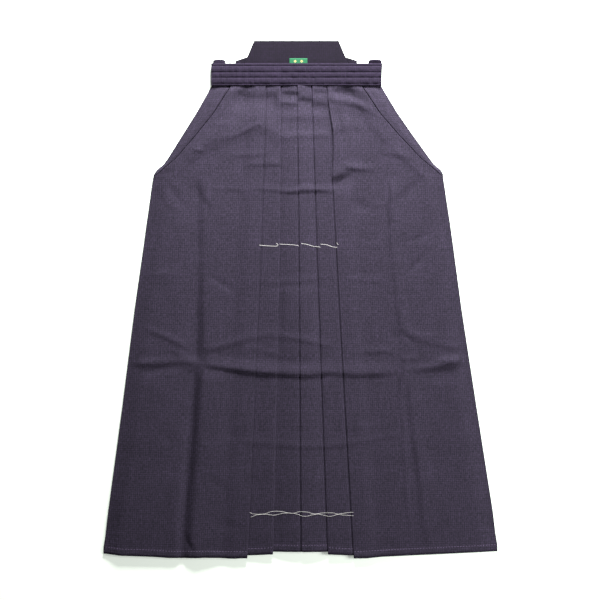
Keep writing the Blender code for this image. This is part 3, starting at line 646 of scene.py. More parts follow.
def front_stops(side, below):
    """The whole path, from the turned side edge to the inner leg seam."""
    edge, outer, inner = read(FRONT_SIDE, below), outer_fold(side, below), read(INNER_PLEAT, below)
    depth, turned = pleat_depth(below), edge - FOLD_REACH
    stack = outer + depth
    ramp = stack + min(RAMP_RUN, RAMP_SHARE * (edge - stack))
    hem_ramp = HEM_AT_OUTER_FOLD + (HEM_AT_SIDE - HEM_AT_OUTER_FOLD) * (ramp - outer) / (edge - outer)
    rise_end = outer - min(GROOVE_END[side], OUTER_GROOVE_SHARE * (outer - inner))
    stops = [Stop(edge - SIDE_TURN, 0.0, 3, HEM_AT_SIDE), Stop(turned, 0.0, 1, HEM_AT_SIDE)]
    stops += turn_stops(turned, 1.0, 1, HEM_AT_SIDE)[::-1]
    stops += [Stop(turned, 1.0, 5, HEM_AT_SIDE), Stop(edge - SIDE_FLAT, 1.0, 62, HEM_AT_SIDE),
              Stop(ramp, 0.0, 11, hem_ramp), Stop(stack + STACK_MARGIN, 2.0, 8, HEM_AT_OUTER_FOLD),
              Stop(outer + FOLD_REACH, 2.0, 1, HEM_AT_OUTER_FOLD, 1.0)]
    stops += knife_stops(outer, depth, HEM_AT_OUTER_FOLD, HEM_SECOND_START, 1.0)
    stops += [Stop(stack, 0.0, 4, HEM_SECOND_START),
              Stop(outer - GROOVE_START[side], 0.0, 6, HEM_SECOND_START),
              Stop(rise_end, read(GROOVE_LEVEL[side], below), 8, HEM_SECOND_START),
              Stop(inner + FOLD_REACH, 2.0, 1, HEM_SECOND_END)]
    stops += knife_stops(inner, depth, HEM_SECOND_END, HEM_MIDDLE)
    stops += [Stop(inner + depth, 0.0, 3, HEM_MIDDLE), Stop(inner - GROOVE_START[side], 0.0, 6, HEM_MIDDLE)]
    return [*stops, *middle_stops(side, below), Stop(inseam(below), 0.0, 0, HEM_MIDDLE)]


def walk(stops):
    """Every point along a path of stops: its distance across, level, hem and share of the lift."""
    points = []
    for here, there in zip(stops, stops[1:]):
        for step in range(here.steps):
            share = step / here.steps
            points.append((here.across + share * (there.across - here.across),
                           here.level + ease(share) * (there.level - here.level),
                           here.hem + share * (there.hem - here.hem),
                           here.lift + share * (there.lift - here.lift)))
    points.append((stops[-1].across, stops[-1].level, stops[-1].hem, stops[-1].lift))
    return np.array(points)


print("points across a front:", [len(walk(front_stops(side, SLIT_END))) for side in (-1, 1)])


# %% The open pleat on the right
# The right outer fold stands up near the waist and shows the dark inside of its pleat.
OPEN_PLEAT = [Row(0.010, 0.0), Row(0.045, 0.0016), Row(0.082, 0.0050), Row(0.104, 0.0030), Row(0.140, 0.0)]
print("it stands up", max(row.value for row in OPEN_PLEAT), "m at the most")

# %% [markdown]
# The hem is turned up inside, so the last 12 mm is a little thicker, with a line of blind stitches above.

# %% Rows down the front
HEM_TURN, HEM_RISE, HEM_RISE_RUN = 0.0125, 0.0006, 0.0015
FINE_STEP, LONG_STEP, FINE_UNTIL = 0.0030, 0.0042, 0.225
front_rows = np.concatenate([np.arange(-SEAM_ALLOWANCE, FINE_UNTIL, FINE_STEP),
                             np.arange(FINE_UNTIL, FRONT_LENGTH - HEM_TURN, LONG_STEP),
                             FRONT_LENGTH - HEM_TURN + np.array([0.0, 0.0016, 0.0060, HEM_TURN])])
print(len(front_rows), "rows")


def hem_place(below, ends):
    """How far below the band a row lies near the hem, where each column has its own end."""
    return below + (below - HEM_STARTS) / (FRONT_LENGTH - HEM_STARTS) * (ends - FRONT_LENGTH)


def hem_path(side, below, ends):
    """The path where the columns have different lengths: each column is read at its own distance."""
    down = hem_place(below, ends)
    paths = {value: walk(front_stops(side, value)) for value in np.unique(down)}
    return down, np.array([paths[value][column] for column, value in enumerate(down)])


def along(across, level):
    """Distance along the cloth at each point of a path."""
    steps = np.hypot(np.diff(across), np.diff(level * LEVEL))
    return np.concatenate([[0.0], np.cumsum(steps)])


# %% Make both fronts
STOPS_BEFORE_OUTER_FOLD = 11
FOLD_COLUMN = sum(stop.steps for stop in front_stops(1, 0.0)[:STOPS_BEFORE_OUTER_FOLD])


def front_leg(name, side):
    ends = walk(front_stops(side, FRONT_LENGTH))[:, 2]
    places, flat = [], []
    for below in front_rows:
        if below > HEM_STARTS:
            down, path = hem_path(side, below, ends)
        else:
            down, path = np.full(len(ends), below), walk(front_stops(side, below))
        across, level, lift = path[:, 0], path[:, 1], path[:, 3]
        x = side * across + read(CENTRE_LINE, down)
        height = np.array([front_base(side, abs(a), d) for a, d in zip(across, down)])
        height = height + level * LEVEL + WALL / 2 + front_lift(x, down)
        if side > 0:
            height = height + read(OPEN_PLEAT, below) * lift
        height = height + HEM_RISE * ease((down - (ends - HEM_TURN)) / HEM_RISE_RUN)
        places.append(place(side, across, down, height))
        flat.append(np.stack([along(across, level), -down], axis=-1))
    flat = np.array(flat)
    flat[..., 0] -= flat[:, FOLD_COLUMN:FOLD_COLUMN + 1, 0]
    return sheet(name, np.array(places), flat, WALL, CLOTH), flat


front_left, front_left_flat = front_leg("front_cloth_left", -1)
front_right, front_right_flat = front_leg("front_cloth_right", 1)

# %% [markdown]
# ## Backs, leaf folds and gusset
# The backs lie flat on the surface, each with its pleat turned in at the centre back. The leaf folds are
# the narrow pressed strips that show beside the front, from the band to the end of the opening. The
# gusset is a small folded diamond between the legs, which the fronts hide.

# %% The backs
BACK_INSET, BACK_INSET_END = 0.008, 0.165      # the back keeps inside the leaf fold's edge down to here
HEM_BACK_SIDE, HEM_BACK_CENTRE, HEM_BACK_FLAT = 0.896, 0.893, 0.2
BACK_GAP = 0.00015        # half the air between the two backs
BACK_TOP = 0.0006
back_rows = np.concatenate([np.linspace(BACK_TOP, 0.2, 32), np.linspace(0.206, FRONT_LENGTH, 90)])


def back_side(below):
    if below < BACK_INSET_END:
        return read(LEAF_SIDE, below) - BACK_INSET
    return read(FRONT_SIDE, below) if below > SLIT_END else read(LEAF_SIDE, below)


def back_leg(name, side):
    places, flat = [], []
    for below in back_rows:
        edge, seam, outer = BACK_GAP + FOLD_REACH, inseam(below), back_side(below)
        stops = [Stop(outer, 0.0, 40, 0.0), Stop(edge, 0.0, 1, 0.0)]
        stops += turn_stops(edge, 1.0, -1, 0.0)[::-1]
        path = walk(stops + [Stop(edge, 1.0, 6, 0.0), Stop(seam, 1.0, 0, 0.0)])
        across, level = path[:, 0], path[:, 1]
        end = np.interp(across, [0.0, HEM_BACK_FLAT, outer],
                        [HEM_BACK_CENTRE, HEM_BACK_CENTRE, HEM_BACK_SIDE])
        down = below * np.ones(len(across)) if below < HEM_STARTS else hem_place(below, end)
        places.append(place(side, across, down, WALL / 2 + level * LEVEL))
        flat.append(np.stack([along(across, level), -down], axis=-1))
    return sheet(name, np.array(places), np.array(flat), WALL, CLOTH), np.array(flat)


back_left, back_flat = back_leg("back_cloth_left", -1)
back_right, _ = back_leg("back_cloth_right", 1)
print("back area", round(flat_area(back_flat), 3))


# %% The leaf folds
LEAF_END = 0.178
LEAF_SWELL, LEAF_SWELL_START, LEAF_SWELL_RUN, LEAF_TIP = 0.0034, 0.004, 0.016, 0.008
LEAF_GROOVE, LEAF_GROOVE_SHARE = 0.0027, 0.4
LEAF_GROOVE_STEPS = np.array([0.85, 0.7, 0.55, 0.4, 0.2])
LEAF_UNDER, LEAF_FLAT_FROM = 0.0005, 0.004     # how far under the front's edge its next two lines lie
SWELL_FROM, SWELL_RISE, SWELL_FALL = 0.35, 0.5, 0.6      # shares of the groove, and of the strip that shows


def leaf_fold(name, side):
    """A strip that swells beside the front's edge, which makes the dark line between the two."""
    places, flat = [], []
    for below in np.linspace(-SEAM_ALLOWANCE, LEAF_END, 72):
        inner, outer, front = leaf_lines(below)[0], read(LEAF_SIDE, below), read(FRONT_SIDE, below)
        shown = outer - front
        groove = min(LEAF_GROOVE, LEAF_GROOVE_SHARE * shown)
        across = np.concatenate([np.linspace(outer, front + groove, 12), front + groove * LEAF_GROOVE_STEPS,
                                 [front - LEAF_UNDER], np.linspace(front - LEAF_FLAT_FROM, inner, 4)])
        swell = (ease((across - front - SWELL_FROM * groove) / (SWELL_RISE * groove))
                 * ease((outer - across) / (SWELL_FALL * shown)))
        height = LEVEL + WAIST_LIFT * ease(1.0 - below / WAIST_RUN) + WALL / 2
        fades = ease(shown / LEAF_TIP) * ease((below + LEAF_SWELL_START) / LEAF_SWELL_RUN)
        height = height + LEAF_SWELL * swell * fades
        places.append(place(side, across, below, height))
        flat.append(np.stack([outer - across, np.full(len(across), -below)], axis=-1))
    return sheet(name, np.array(places), np.array(flat), WALL, CLOTH), np.array(flat)


leaf_left, leaf_flat = leaf_fold("leaf_cloth_left", -1)
leaf_right, _ = leaf_fold("leaf_cloth_right", 1)
print("leaf fold area", round(flat_area(leaf_flat), 4))

# %% The gusset
GUSSET_CENTRE, GUSSET_HALF_LENGTH, GUSSET_HALF_WIDTH = 0.455, 0.050, 0.021
GUSSET_END = 0.97         # the points are blunt, because they are sewn into a seam
gusset_rows = []
for share in np.linspace(-GUSSET_END, GUSSET_END, 15):
    half = GUSSET_HALF_WIDTH * (1.0 - abs(share))
    across = np.linspace(-half, half, 9)
    gusset_rows.append(place(1, across, GUSSET_CENTRE + share * GUSSET_HALF_LENGTH, 2 * LEVEL + LEVEL / 2))
gusset_rows = np.array(gusset_rows)
gusset = sheet("gusset_cloth", gusset_rows, gusset_rows[..., :2], WALL, CLOTH)
print("gusset, folded:", 2 * GUSSET_HALF_LENGTH, "x", 2 * GUSSET_HALF_WIDTH, "m")

# %% [markdown]
# ## The waist band
# The band is a strip of the same cloth folded round layers of stiff canvas. Rows of stitching pull it
# into ridges. Its cross section is worked out as an outline and swept along the waist, and each ridge
# swells a little unevenly, as cloth between two rows of stitches does.

# %% The band's cross section and sweep
Ridge = namedtuple("Ridge", "upper lower swell")
BAND_RIDGES = [Ridge(0.0426, 0.0373, 0.0014), Ridge(0.0373, 0.0252, 0.0026), Ridge(0.0252, 0.0149, 0.0024),
               Ridge(0.0149, 0.0030, 0.0026), Ridge(0.0030, 0.0, 0.0010)]
BAND_WALL, BAND_ROUND, BAND_BEVEL = 0.0012, 0.0014, 0.0004
SLOT_DEPTH = 0.0135       # the fronts run this far up into the band
RIDGE_STEPS, RIDGE_POWER, RIDGE_ROOM = 12, 0.36, 0.0020
band_floor, band_top = BAND_LOW.z, BAND_HIGH.z - RIDGE_ROOM
draw_band = np.random.default_rng(5)


def band_outline(wander):
    """Points of (towards the waist, height) round the band; wander makes each ridge a little uneven."""
    points = []
    for number, ridge in enumerate(reversed(BAND_RIDGES)):
        for step in range(RIDGE_STEPS):
            share = 0.5 - 0.5 * math.cos(math.pi * step / RIDGE_STEPS)
            swell = ridge.swell * math.sin(math.pi * share) ** RIDGE_POWER * (1.0 + wander[number])
            points.append((ridge.lower + share * (ridge.upper - ridge.lower), band_top + swell))
    points[0] = (BAND_ROUND / 2, band_top)
    upper = BAND_RIDGES[0].upper
    points += [(upper - BAND_ROUND, band_top), (upper - BAND_BEVEL, band_top - BAND_BEVEL),
               (upper, band_top - BAND_ROUND), (upper, band_floor + BAND_ROUND),
               (upper - BAND_BEVEL, band_floor + BAND_BEVEL), (upper - BAND_ROUND, band_floor),
               (0.0005, band_floor), (0.0, band_floor + BAND_BEVEL),
               (0.0, band_floor + BAND_WALL), (SLOT_DEPTH, band_floor + BAND_WALL),
               (SLOT_DEPTH, band_top - BAND_WALL), (0.0, band_top - BAND_WALL),
               (0.0, band_top - BAND_ROUND / 2)]
    return np.array(points)


BAND_STEPS = 180
WANDER_SHARE, WANDER_SPREAD = 0.35, 7
BAND_END, BAND_END_THINNER, BAND_END_LOWER = 0.0022, 0.10, 0.012
BAND_END_SLANT, SLANT_RUN, SLANT_PIVOT = 0.0036, 0.030, 0.55      # the right end isn't square
band_x = np.linspace(BAND_LOW.x, BAND_HIGH.x, BAND_STEPS)
wander = draw_band.normal(0.0, 1.0, (BAND_STEPS, len(BAND_RIDGES)))
kernel = np.hanning(WANDER_SPREAD) / np.hanning(WANDER_SPREAD).sum()
wander = WANDER_SHARE * np.array([np.convolve(ridge, kernel, "same") for ridge in wander.T]).T


def band_ring(x, wander):
    """The cross section at x, a little thinner and lower at the band's two ends."""
    outline = band_outline(wander)
    at_end = 1.0 - ease(min(x - BAND_LOW.x, BAND_HIGH.x - x) / BAND_END)
    middle, half = (band_floor + band_top) / 2, BAND_HEIGHT / 2
    z = middle + (outline[:, 1] - middle) * (1.0 - BAND_END_THINNER * at_end)
    y = WAIST_Y + half + (outline[:, 0] - half) * (1.0 - BAND_END_LOWER * at_end)
    slant = BAND_END_SLANT * (outline[:, 0] / BAND_HEIGHT - SLANT_PIVOT)
    return np.stack([x + slant * ease((x - BAND_HIGH.x + SLANT_RUN) / SLANT_RUN), y, z], axis=-1)


# %% A closed piece from rings of points
SHARP = math.radians(50)
SEAM_STRETCH = 1.01       # the last face round a ring ends this much past the last point


def run_of(path):
    """Distance along a path of points."""
    return np.concatenate([[0.0], np.cumsum(np.linalg.norm(np.diff(path, axis=0), axis=1))])


def swept(name, rings, finish, seen_flat=False):
    """Quads between the rings and a face at each end. The weave goes round it, or is seen_flat."""
    count, size = rings.shape[:2]
    number = np.arange(count * size).reshape(count, size)
    after = np.roll(number, -1, axis=1)
    quads = np.stack([number[:-1], after[:-1], after[1:], number[1:]], -1).reshape(-1, 4).tolist()
    faces = quads + [number[0][::-1].tolist(), number[-1].tolist()]
    mesh = bpy.data.meshes.new(name)
    mesh.from_pydata(rings.reshape(-1, 3).tolist(), [], faces)
    around = run_of(rings[count // 2])
    layer = mesh.uv_layers.new(name=LAYER)
    for face in mesh.polygons:
        wraps = max(v % size for v in face.vertices) - min(v % size for v in face.vertices) > 1
        for loop in face.loop_indices:
            vertex = mesh.loops[loop].vertex_index
            at_seam = wraps and vertex % size == 0
            place_round = around[-1] * SEAM_STRETCH if at_seam else around[vertex % size]
            where = mesh.vertices[vertex].co
            layer.data[loop].uv = (where.x, where.y if seen_flat else place_round)
    mesh.materials.append(finish)
    mesh.shade_smooth()
    mesh.set_sharp_from_angle(angle=SHARP)
    made = bpy.data.objects.new(name, mesh)
    bpy.context.scene.collection.objects.link(made)
    return made


band_rings = np.array([band_ring(x, share) for x, share in zip(band_x, wander)])
band = swept("band_cloth_folded", band_rings, BAND_CLOTH)
print("band", BAND_STEPS, "rings of", len(band_rings[0]))

# %% [markdown]
# ## Ties
# The front ties run on from the band's ends, and the back ties from the board's slanting sides. They are
# long, so they are folded back behind the band. Only the folds show above it.

# %% The front ties
FRONT_TIE_TOP, FRONT_TIE_BOTTOM, FRONT_TIE_END = -0.0510, 0.045, 0.040
FRONT_TIE_BASE = 0.0005   # half a wall and the air below it
TIE_SAG, TIE_SAG_RUN, TIE_SAG_DROP = 0.0024, 0.008, 0.4      # the corners of the loop hang a little
TIE_SETTLE = 0.0045
TIE_COLUMNS = 15
LEFT_LOOP, RIGHT_LOOP = 0.0010, 0.0019


def front_tie(name, box, loop):
    """A strip laid down and back over itself, with a soft loop at its top; loop is the loop's radius."""
    low, high = box
    turn = FRONT_TIE_TOP + loop + WALL / 2
    base = low.z + FRONT_TIE_BASE
    path = [(below, base) for below in np.linspace(FRONT_TIE_BOTTOM, turn, 30)]
    path += [(turn - loop * math.sin(a), base + loop * (1 - math.cos(a)))
             for a in np.radians(range(20, 180, 20))]
    for below in np.linspace(turn, FRONT_TIE_END, 40):
        settle = ease((below - turn) / TIE_SETTLE)
        path.append((below, base + LEVEL * settle + 2 * loop * (1.0 - settle)))
    middle, half = (low.x + high.x) / 2, (high.x - low.x) / 2
    across = np.linspace(-1.0, 1.0, TIE_COLUMNS)
    grid = []
    for below, z in path:
        sag = TIE_SAG * ease((FRONT_TIE_TOP + TIE_SAG_RUN - below) / TIE_SAG_RUN) * np.abs(across) ** 4
        lower = TIE_SAG_DROP * sag * (z > base)
        grid.append(np.stack([middle + half * across, WAIST_Y - below - sag, z - lower], axis=-1))
    flat = np.array([[(x, run) for x in np.linspace(low.x, high.x, TIE_COLUMNS)]
                     for run in run_of(np.array(path))])
    return sheet(name, np.array(grid), flat, WALL, BAND_CLOTH), flat


front_tie_left, tie_flat = front_tie("front_tie_cloth_left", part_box("front_tie_left"), LEFT_LOOP)
front_tie_right, _ = front_tie("front_tie_cloth_right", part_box("front_tie_right"), RIGHT_LOOP)

# %% The back ties
BOARD_TOP_HALF = 0.0817   # half the width of the board's upper edge
BOARD_SLOPE = 0.42        # how fast it widens
BOARD_RISE = 0.0874       # its upper edge, above the band's lower edge
BOARD_THICKNESS = BOARD_HIGH.z - BOARD_LOW.z
TIE_THICKNESS, TIE_WALL, TIE_GAP = 0.0012, 0.0010, 0.0003
BACK_TIE_FOLD, BACK_TIE_END = 0.117, 0.030
BACK_TIE_TOP, BACK_TIE_RISE, BACK_TIE_BOTTOM = -0.0495, 0.0065, -0.0190
BACK_TIE_DROP, BACK_TIE_DROP_RUN = 0.0080, 0.014      # the folded length slants down behind the band
BACK_TIE_DROP_LOWER = 0.5                             # its lower edge slants this much less
BOARD_GAP, LEAST_TIE = 0.0001, 0.001                  # air beside the board, and the least length left


def board_half(below):
    return BOARD_TOP_HALF + BOARD_SLOPE * (below + BOARD_RISE)


def back_tie(name, side):
    """A strip from the board's slanting side out to its fold, then back over the board."""
    low, high = TIE_THICKNESS / 2, BOARD_THICKNESS + TIE_GAP + TIE_THICKNESS / 2
    radius = (high - low) / 2
    turn = BACK_TIE_FOLD - radius - TIE_THICKNESS / 2
    rows, flats = [], []
    for share in np.linspace(0.0, 1.0, 12):
        start = BACK_TIE_TOP - BACK_TIE_RISE
        start = start + share * (BACK_TIE_BOTTOM - start)
        rest = BACK_TIE_TOP + share * (BACK_TIE_BOTTOM - BACK_TIE_TOP)
        begin = min(board_half(start) + BOARD_GAP, turn - LEAST_TIE)
        row = [(begin + s * (turn - begin), start + s * (rest - start), low) for s in np.linspace(0, 1, 8)]
        row += [(turn + radius * math.sin(a), rest, low + radius * (1 - math.cos(a))) for a in FOLD_TURNS]
        drop = BACK_TIE_DROP * (1.0 - BACK_TIE_DROP_LOWER * share)
        row += [(across, rest + drop * ease((turn - across) / BACK_TIE_DROP_RUN), high)
                for across in np.linspace(turn, BACK_TIE_END, 24)]
        row = np.array(row)
        rows.append(place(side, row[:, 0], row[:, 1], row[:, 2]))
        flats.append(np.stack([run_of(row), -row[:, 1]], axis=-1))
    return sheet(name, np.array(rows), np.array(flats), TIE_WALL, BOARD_CLOTH), np.array(flats)


back_tie_left, back_tie_flat = back_tie("back_tie_cloth_left", -1)
back_tie_right, _ = back_tie("back_tie_cloth_right", 1)

# %% [markdown]
# ## The back board and its label
# A stiff board covered in cloth, pressed in along a seam round its edge. The inside face shows above the
# band, with a small woven label. The label is plain: a green satin ground with two lozenges and no words.

# %% The board
EDGE_THIN = 0.35          # thickness at the very edge, as a share of the whole
TOP_ROUND, SIDE_ROUND = 0.0018, 0.0014
TOP_EDGE = np.array([0.0, 0.0003, 0.0009, TOP_ROUND])
SIDE_EDGE = np.array([0.0, 0.0003, 0.0010])
EVEN_FROM_TOP, EVEN_FROM_SIDE = 0.004, 0.003   # even rows and columns start here, inside the edges
BOARD_SEAM, BOARD_SEAM_IN, BOARD_SEAM_WIDTH = 0.00022, 0.0042, 0.0007


def rounded(inside, reach):
    """Share of the full thickness at a distance inside an edge."""
    return EDGE_THIN + (1.0 - EDGE_THIN) * np.sqrt(ease(inside / reach))


def board():
    """Rows down the board, each a loop round its cross section with soft edges."""
    rings = []
    downs = np.concatenate([TOP_EDGE, np.linspace(EVEN_FROM_TOP, BOARD_RISE - EVEN_FROM_TOP, 20),
                            BOARD_RISE - TOP_EDGE[::-1]])
    for down in downs:
        edge_in = min(down, BOARD_RISE - down)
        half_depth = BOARD_THICKNESS / 2 * rounded(edge_in, TOP_ROUND)
        below = down - BOARD_RISE
        half = board_half(below)
        across = np.concatenate([SIDE_EDGE - half,
                                 np.linspace(EVEN_FROM_SIDE - half, half - EVEN_FROM_SIDE, 30),
                                 half - SIDE_EDGE[::-1]])
        side_in = half - np.abs(across)
        depth = half_depth * rounded(side_in, SIDE_ROUND)
        pressed = (np.minimum(side_in, edge_in) - BOARD_SEAM_IN) / BOARD_SEAM_WIDTH
        seam = BOARD_SEAM * np.exp(-pressed ** 2)
        x = across + float(read(CENTRE_LINE, below))
        y = np.full(len(across), WAIST_Y - below)
        top = BOARD_THICKNESS / 2 + depth - seam
        bottom = BOARD_THICKNESS / 2 - depth
        upper = np.stack([x, y, top], axis=-1)
        lower = np.stack([x, y, bottom], axis=-1)[::-1]
        rings.append(np.concatenate([upper, lower]))
    return np.array(rings)


board_piece = swept("board_cloth_cover", board(), BOARD_CLOTH, seen_flat=True)
print("board", round(2 * board_half(0.0), 3), "narrowing to", 2 * BOARD_TOP_HALF, "m")


# %% The label's satin
LOZENGES, LOZENGE_UP = (-0.0062, 0.0062), 0.0012       # their centres, from the middle of the label
LOZENGE_OUTER, LOZENGE_INNER = 0.0030, 0.0011          # half diagonals of each ring
SATIN_ROWS = 900.0        # the scale of a wave 0.35 mm long, the width of a row of satin


def label_satin():
    """Satin with a fine sheen across it and two woven lozenges, each the ring between two diamonds."""
    made, tree, shader = new_material("green label satin", 0.65, 0.1, 0.1)
    uv = add(tree, "ShaderNodeUVMap", {"uv_map": LAYER}).outputs["UV"]
    parts = add(tree, "ShaderNodeSeparateXYZ", {}, {"Vector": uv})
    shine = add(tree, "ShaderNodeTexWave", {"bands_direction": "Y", "Scale": SATIN_ROWS, "Distortion": 0.6},
                {"Vector": uv})
    marks = None
    for centre in LOZENGES:
        off_x = add(tree, "ShaderNodeMath", {"operation": "SUBTRACT", 1: centre}, {0: parts.outputs["X"]})
        far_x = add(tree, "ShaderNodeMath", {"operation": "ABSOLUTE"}, {0: off_x.outputs["Value"]})
        off_y = add(tree, "ShaderNodeMath", {"operation": "SUBTRACT", 1: LOZENGE_UP}, {0: parts.outputs["Y"]})
        far_y = add(tree, "ShaderNodeMath", {"operation": "ABSOLUTE"}, {0: off_y.outputs["Value"]})
        total = add(tree, "ShaderNodeMath", {"operation": "ADD"},
                    {0: far_x.outputs["Value"], 1: far_y.outputs["Value"]})
        inside = add(tree, "ShaderNodeMath", {"operation": "LESS_THAN", 1: LOZENGE_OUTER},
                     {0: total.outputs["Value"]})
        hollow = add(tree, "ShaderNodeMath", {"operation": "GREATER_THAN", 1: LOZENGE_INNER},
                     {0: total.outputs["Value"]})
        ring = add(tree, "ShaderNodeMath", {"operation": "MULTIPLY"},
                   {0: inside.outputs["Value"], 1: hollow.outputs["Value"]})
        marks = ring if marks is None else add(tree, "ShaderNodeMath", {"operation": "MAXIMUM"},
                                               {0: marks.outputs["Value"], 1: ring.outputs["Value"]})
    green = add(tree, "ShaderNodeMix", {"data_type": "RGBA", "A": colour("#133F29"), "B": colour("#1F5D3D")})
    tree.links.new(shine.outputs["Fac"], green.inputs["Factor"])
    mixed = add(tree, "ShaderNodeMix", {"data_type": "RGBA"})
    tree.links.new(marks.outputs["Value"], mixed.inputs["Factor"])
    tree.links.new(green.outputs[2], mixed.inputs[6])
    mixed.inputs[7].default_value = colour("#958A5E")
    tree.links.new(mixed.outputs[2], shader.inputs["Base Color"])
    bump = add(tree, "ShaderNodeBump", {"Strength": 0.3, "Distance": 0.0001},
               {"Height": shine.outputs["Fac"]})
    tree.links.new(bump.outputs["Normal"], shader.inputs["Normal"])
    return made


# %% The label
LABEL_COLUMNS, LABEL_ROWS = 16, 9
LABEL_WALL, LABEL_LIFT = 0.0005, 0.0003
LABEL_SET_IN = 0.0012     # its upper edge is turned in
LABEL_WAVE, LABEL_WAVES = 0.00012, 260
label_low, label_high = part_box("woven_label")
label_x = np.linspace(label_low.x, label_high.x, LABEL_COLUMNS)
label_y = np.linspace(label_low.y, label_high.y - LABEL_SET_IN, LABEL_ROWS)
label_grid = np.array([[(x, y, label_low.z + LABEL_LIFT + LABEL_WAVE * math.sin(LABEL_WAVES * x))
                        for x in label_x] for y in label_y])
label_mid = np.array([(label_low.x + label_high.x) / 2, (label_low.y + label_high.y) / 2])
label_piece = sheet("label_satin_patch", label_grid, label_grid[..., :2] - label_mid, LABEL_WALL,
                    label_satin())
print("label", round(label_high.x - label_low.x, 4), "x", round(label_high.y - label_low.y, 4), "m")

# %% [markdown]
# ## Stitches
# A stitch is a short thread that repeats along a line, which is what Geometry Nodes are for. The tree
# turns a path into points a stitch apart, puts a small oval on each and joins them into one mesh.

# %% A tree with named inputs
def node_group(name, sockets):
    tree = bpy.data.node_groups.new(name, "GeometryNodeTree")
    tree.interface.new_socket("Geometry", in_out="INPUT", socket_type="NodeSocketGeometry")
    for title, kind in sockets:
        tree.interface.new_socket(title, in_out="INPUT", socket_type=kind)
    tree.interface.new_socket("Geometry", in_out="OUTPUT", socket_type="NodeSocketGeometry")
    return tree, add(tree, "NodeGroupInput"), add(tree, "NodeGroupOutput")


def finish_tree(tree, given, out, geometry):
    """Makes the copies real, gives them the thread, and puts them out."""
    real = add(tree, "GeometryNodeRealizeInstances", {}, {"Geometry": geometry})
    ready = add(tree, "GeometryNodeSetMaterial", {},
                {"Geometry": real.outputs["Geometry"], "Material": given.outputs["Thread"]})
    tree.links.new(ready.outputs["Geometry"], out.inputs["Geometry"])
    return tree


# %% Trees for stitches and for thread that lies along a path
def stitch_tree():
    """An oval stitch at every step along a path."""
    tree, given, out = node_group("stitch row", [("Spacing", "NodeSocketFloat"), ("Size", "NodeSocketVector"),
                                                 ("Thread", "NodeSocketMaterial")])
    curve = add(tree, "GeometryNodeMeshToCurve", {}, {"Mesh": given.outputs["Geometry"]})
    points = add(tree, "GeometryNodeCurveToPoints", {"mode": "LENGTH"},
                 {"Curve": curve.outputs["Curve"], "Length": given.outputs["Spacing"]})
    oval = add(tree, "GeometryNodeMeshUVSphere", {"Segments": 8, "Rings": 5, "Radius": 0.5})
    shaped = add(tree, "GeometryNodeTransform", {},
                 {"Geometry": oval.outputs["Mesh"], "Scale": given.outputs["Size"]})
    placed = add(tree, "GeometryNodeInstanceOnPoints", {},
                 {"Points": points.outputs["Points"], "Instance": shaped.outputs["Geometry"],
                  "Rotation": points.outputs["Rotation"]})
    return finish_tree(tree, given, out, placed.outputs["Instances"])


def thread_tree():
    """A round thread along a path."""
    tree, given, out = node_group("thread run", [("Radius", "NodeSocketFloat"),
                                                 ("Thread", "NodeSocketMaterial")])
    curve = add(tree, "GeometryNodeMeshToCurve", {}, {"Mesh": given.outputs["Geometry"]})
    circle = add(tree, "GeometryNodeCurvePrimitiveCircle", {"Resolution": 8},
                 {"Radius": given.outputs["Radius"]})
    tube = add(tree, "GeometryNodeCurveToMesh", {"Fill Caps": True},
               {"Curve": curve.outputs["Curve"], "Profile Curve": circle.outputs["Curve"]})
    return finish_tree(tree, given, out, tube.outputs["Mesh"])


STITCHES, THREAD_RUN = stitch_tree(), thread_tree()
print("trees:", STITCHES.name, "and", THREAD_RUN.name)


# %% Run a tree over paths
def along_paths(name, paths, tree, values):
    """Runs a tree over paths of points and keeps the result as a plain mesh."""
    points, edges = [], []
    for path in paths:
        edges += [(len(points) + n, len(points) + n + 1) for n in range(len(path) - 1)]
        points += [tuple(float(v) for v in p) for p in path]
    guide_mesh = bpy.data.meshes.new(name + "_guide")
    guide_mesh.from_pydata(points, edges, [])
    guide = bpy.data.objects.new(name + "_guide", guide_mesh)
    bpy.context.scene.collection.objects.link(guide)
    runner = guide.modifiers.new("run", "NODES")
    runner.node_group = tree
    sockets = {item.name: item.identifier for item in tree.interface.items_tree if item.in_out == "INPUT"}
    for title, value in values.items():
        runner[sockets[title]] = value
    bpy.context.view_layer.update()
    evaluated = guide.evaluated_get(bpy.context.evaluated_depsgraph_get())
    mesh = bpy.data.meshes.new_from_object(evaluated)
    mesh.name = name
    mesh.shade_smooth()
    bpy.data.objects.remove(guide, do_unlink=True)
    made = bpy.data.objects.new(name, mesh)
    bpy.context.scene.collection.objects.link(made)
    print(name, len(mesh.polygons), "faces")
    return made


# %% Height of the finished cloth at a place
WELL_ABOVE = 0.2


def surface_of(*pieces):
    """Function that gives the top of these pieces at (x, y)."""
    graph = bpy.context.evaluated_depsgraph_get()
    trees = [BVHTree.FromObject(piece, graph) for piece in pieces]

    def top(x, y):
        hits = [tree.ray_cast(Vector((x, y, WELL_ABOVE)), Vector((0, 0, -1)))[0] for tree in trees]
        return max((hit.z for hit in hits if hit), default=0.0)

    return top


top_of_front = surface_of(front_left, front_right)
top_of_band = surface_of(band)
print("front and band, 20 mm from their seam:", round(top_of_front(0.0, WAIST_Y - 0.02), 4),
      round(top_of_band(0.0, WAIST_Y + 0.02), 4))

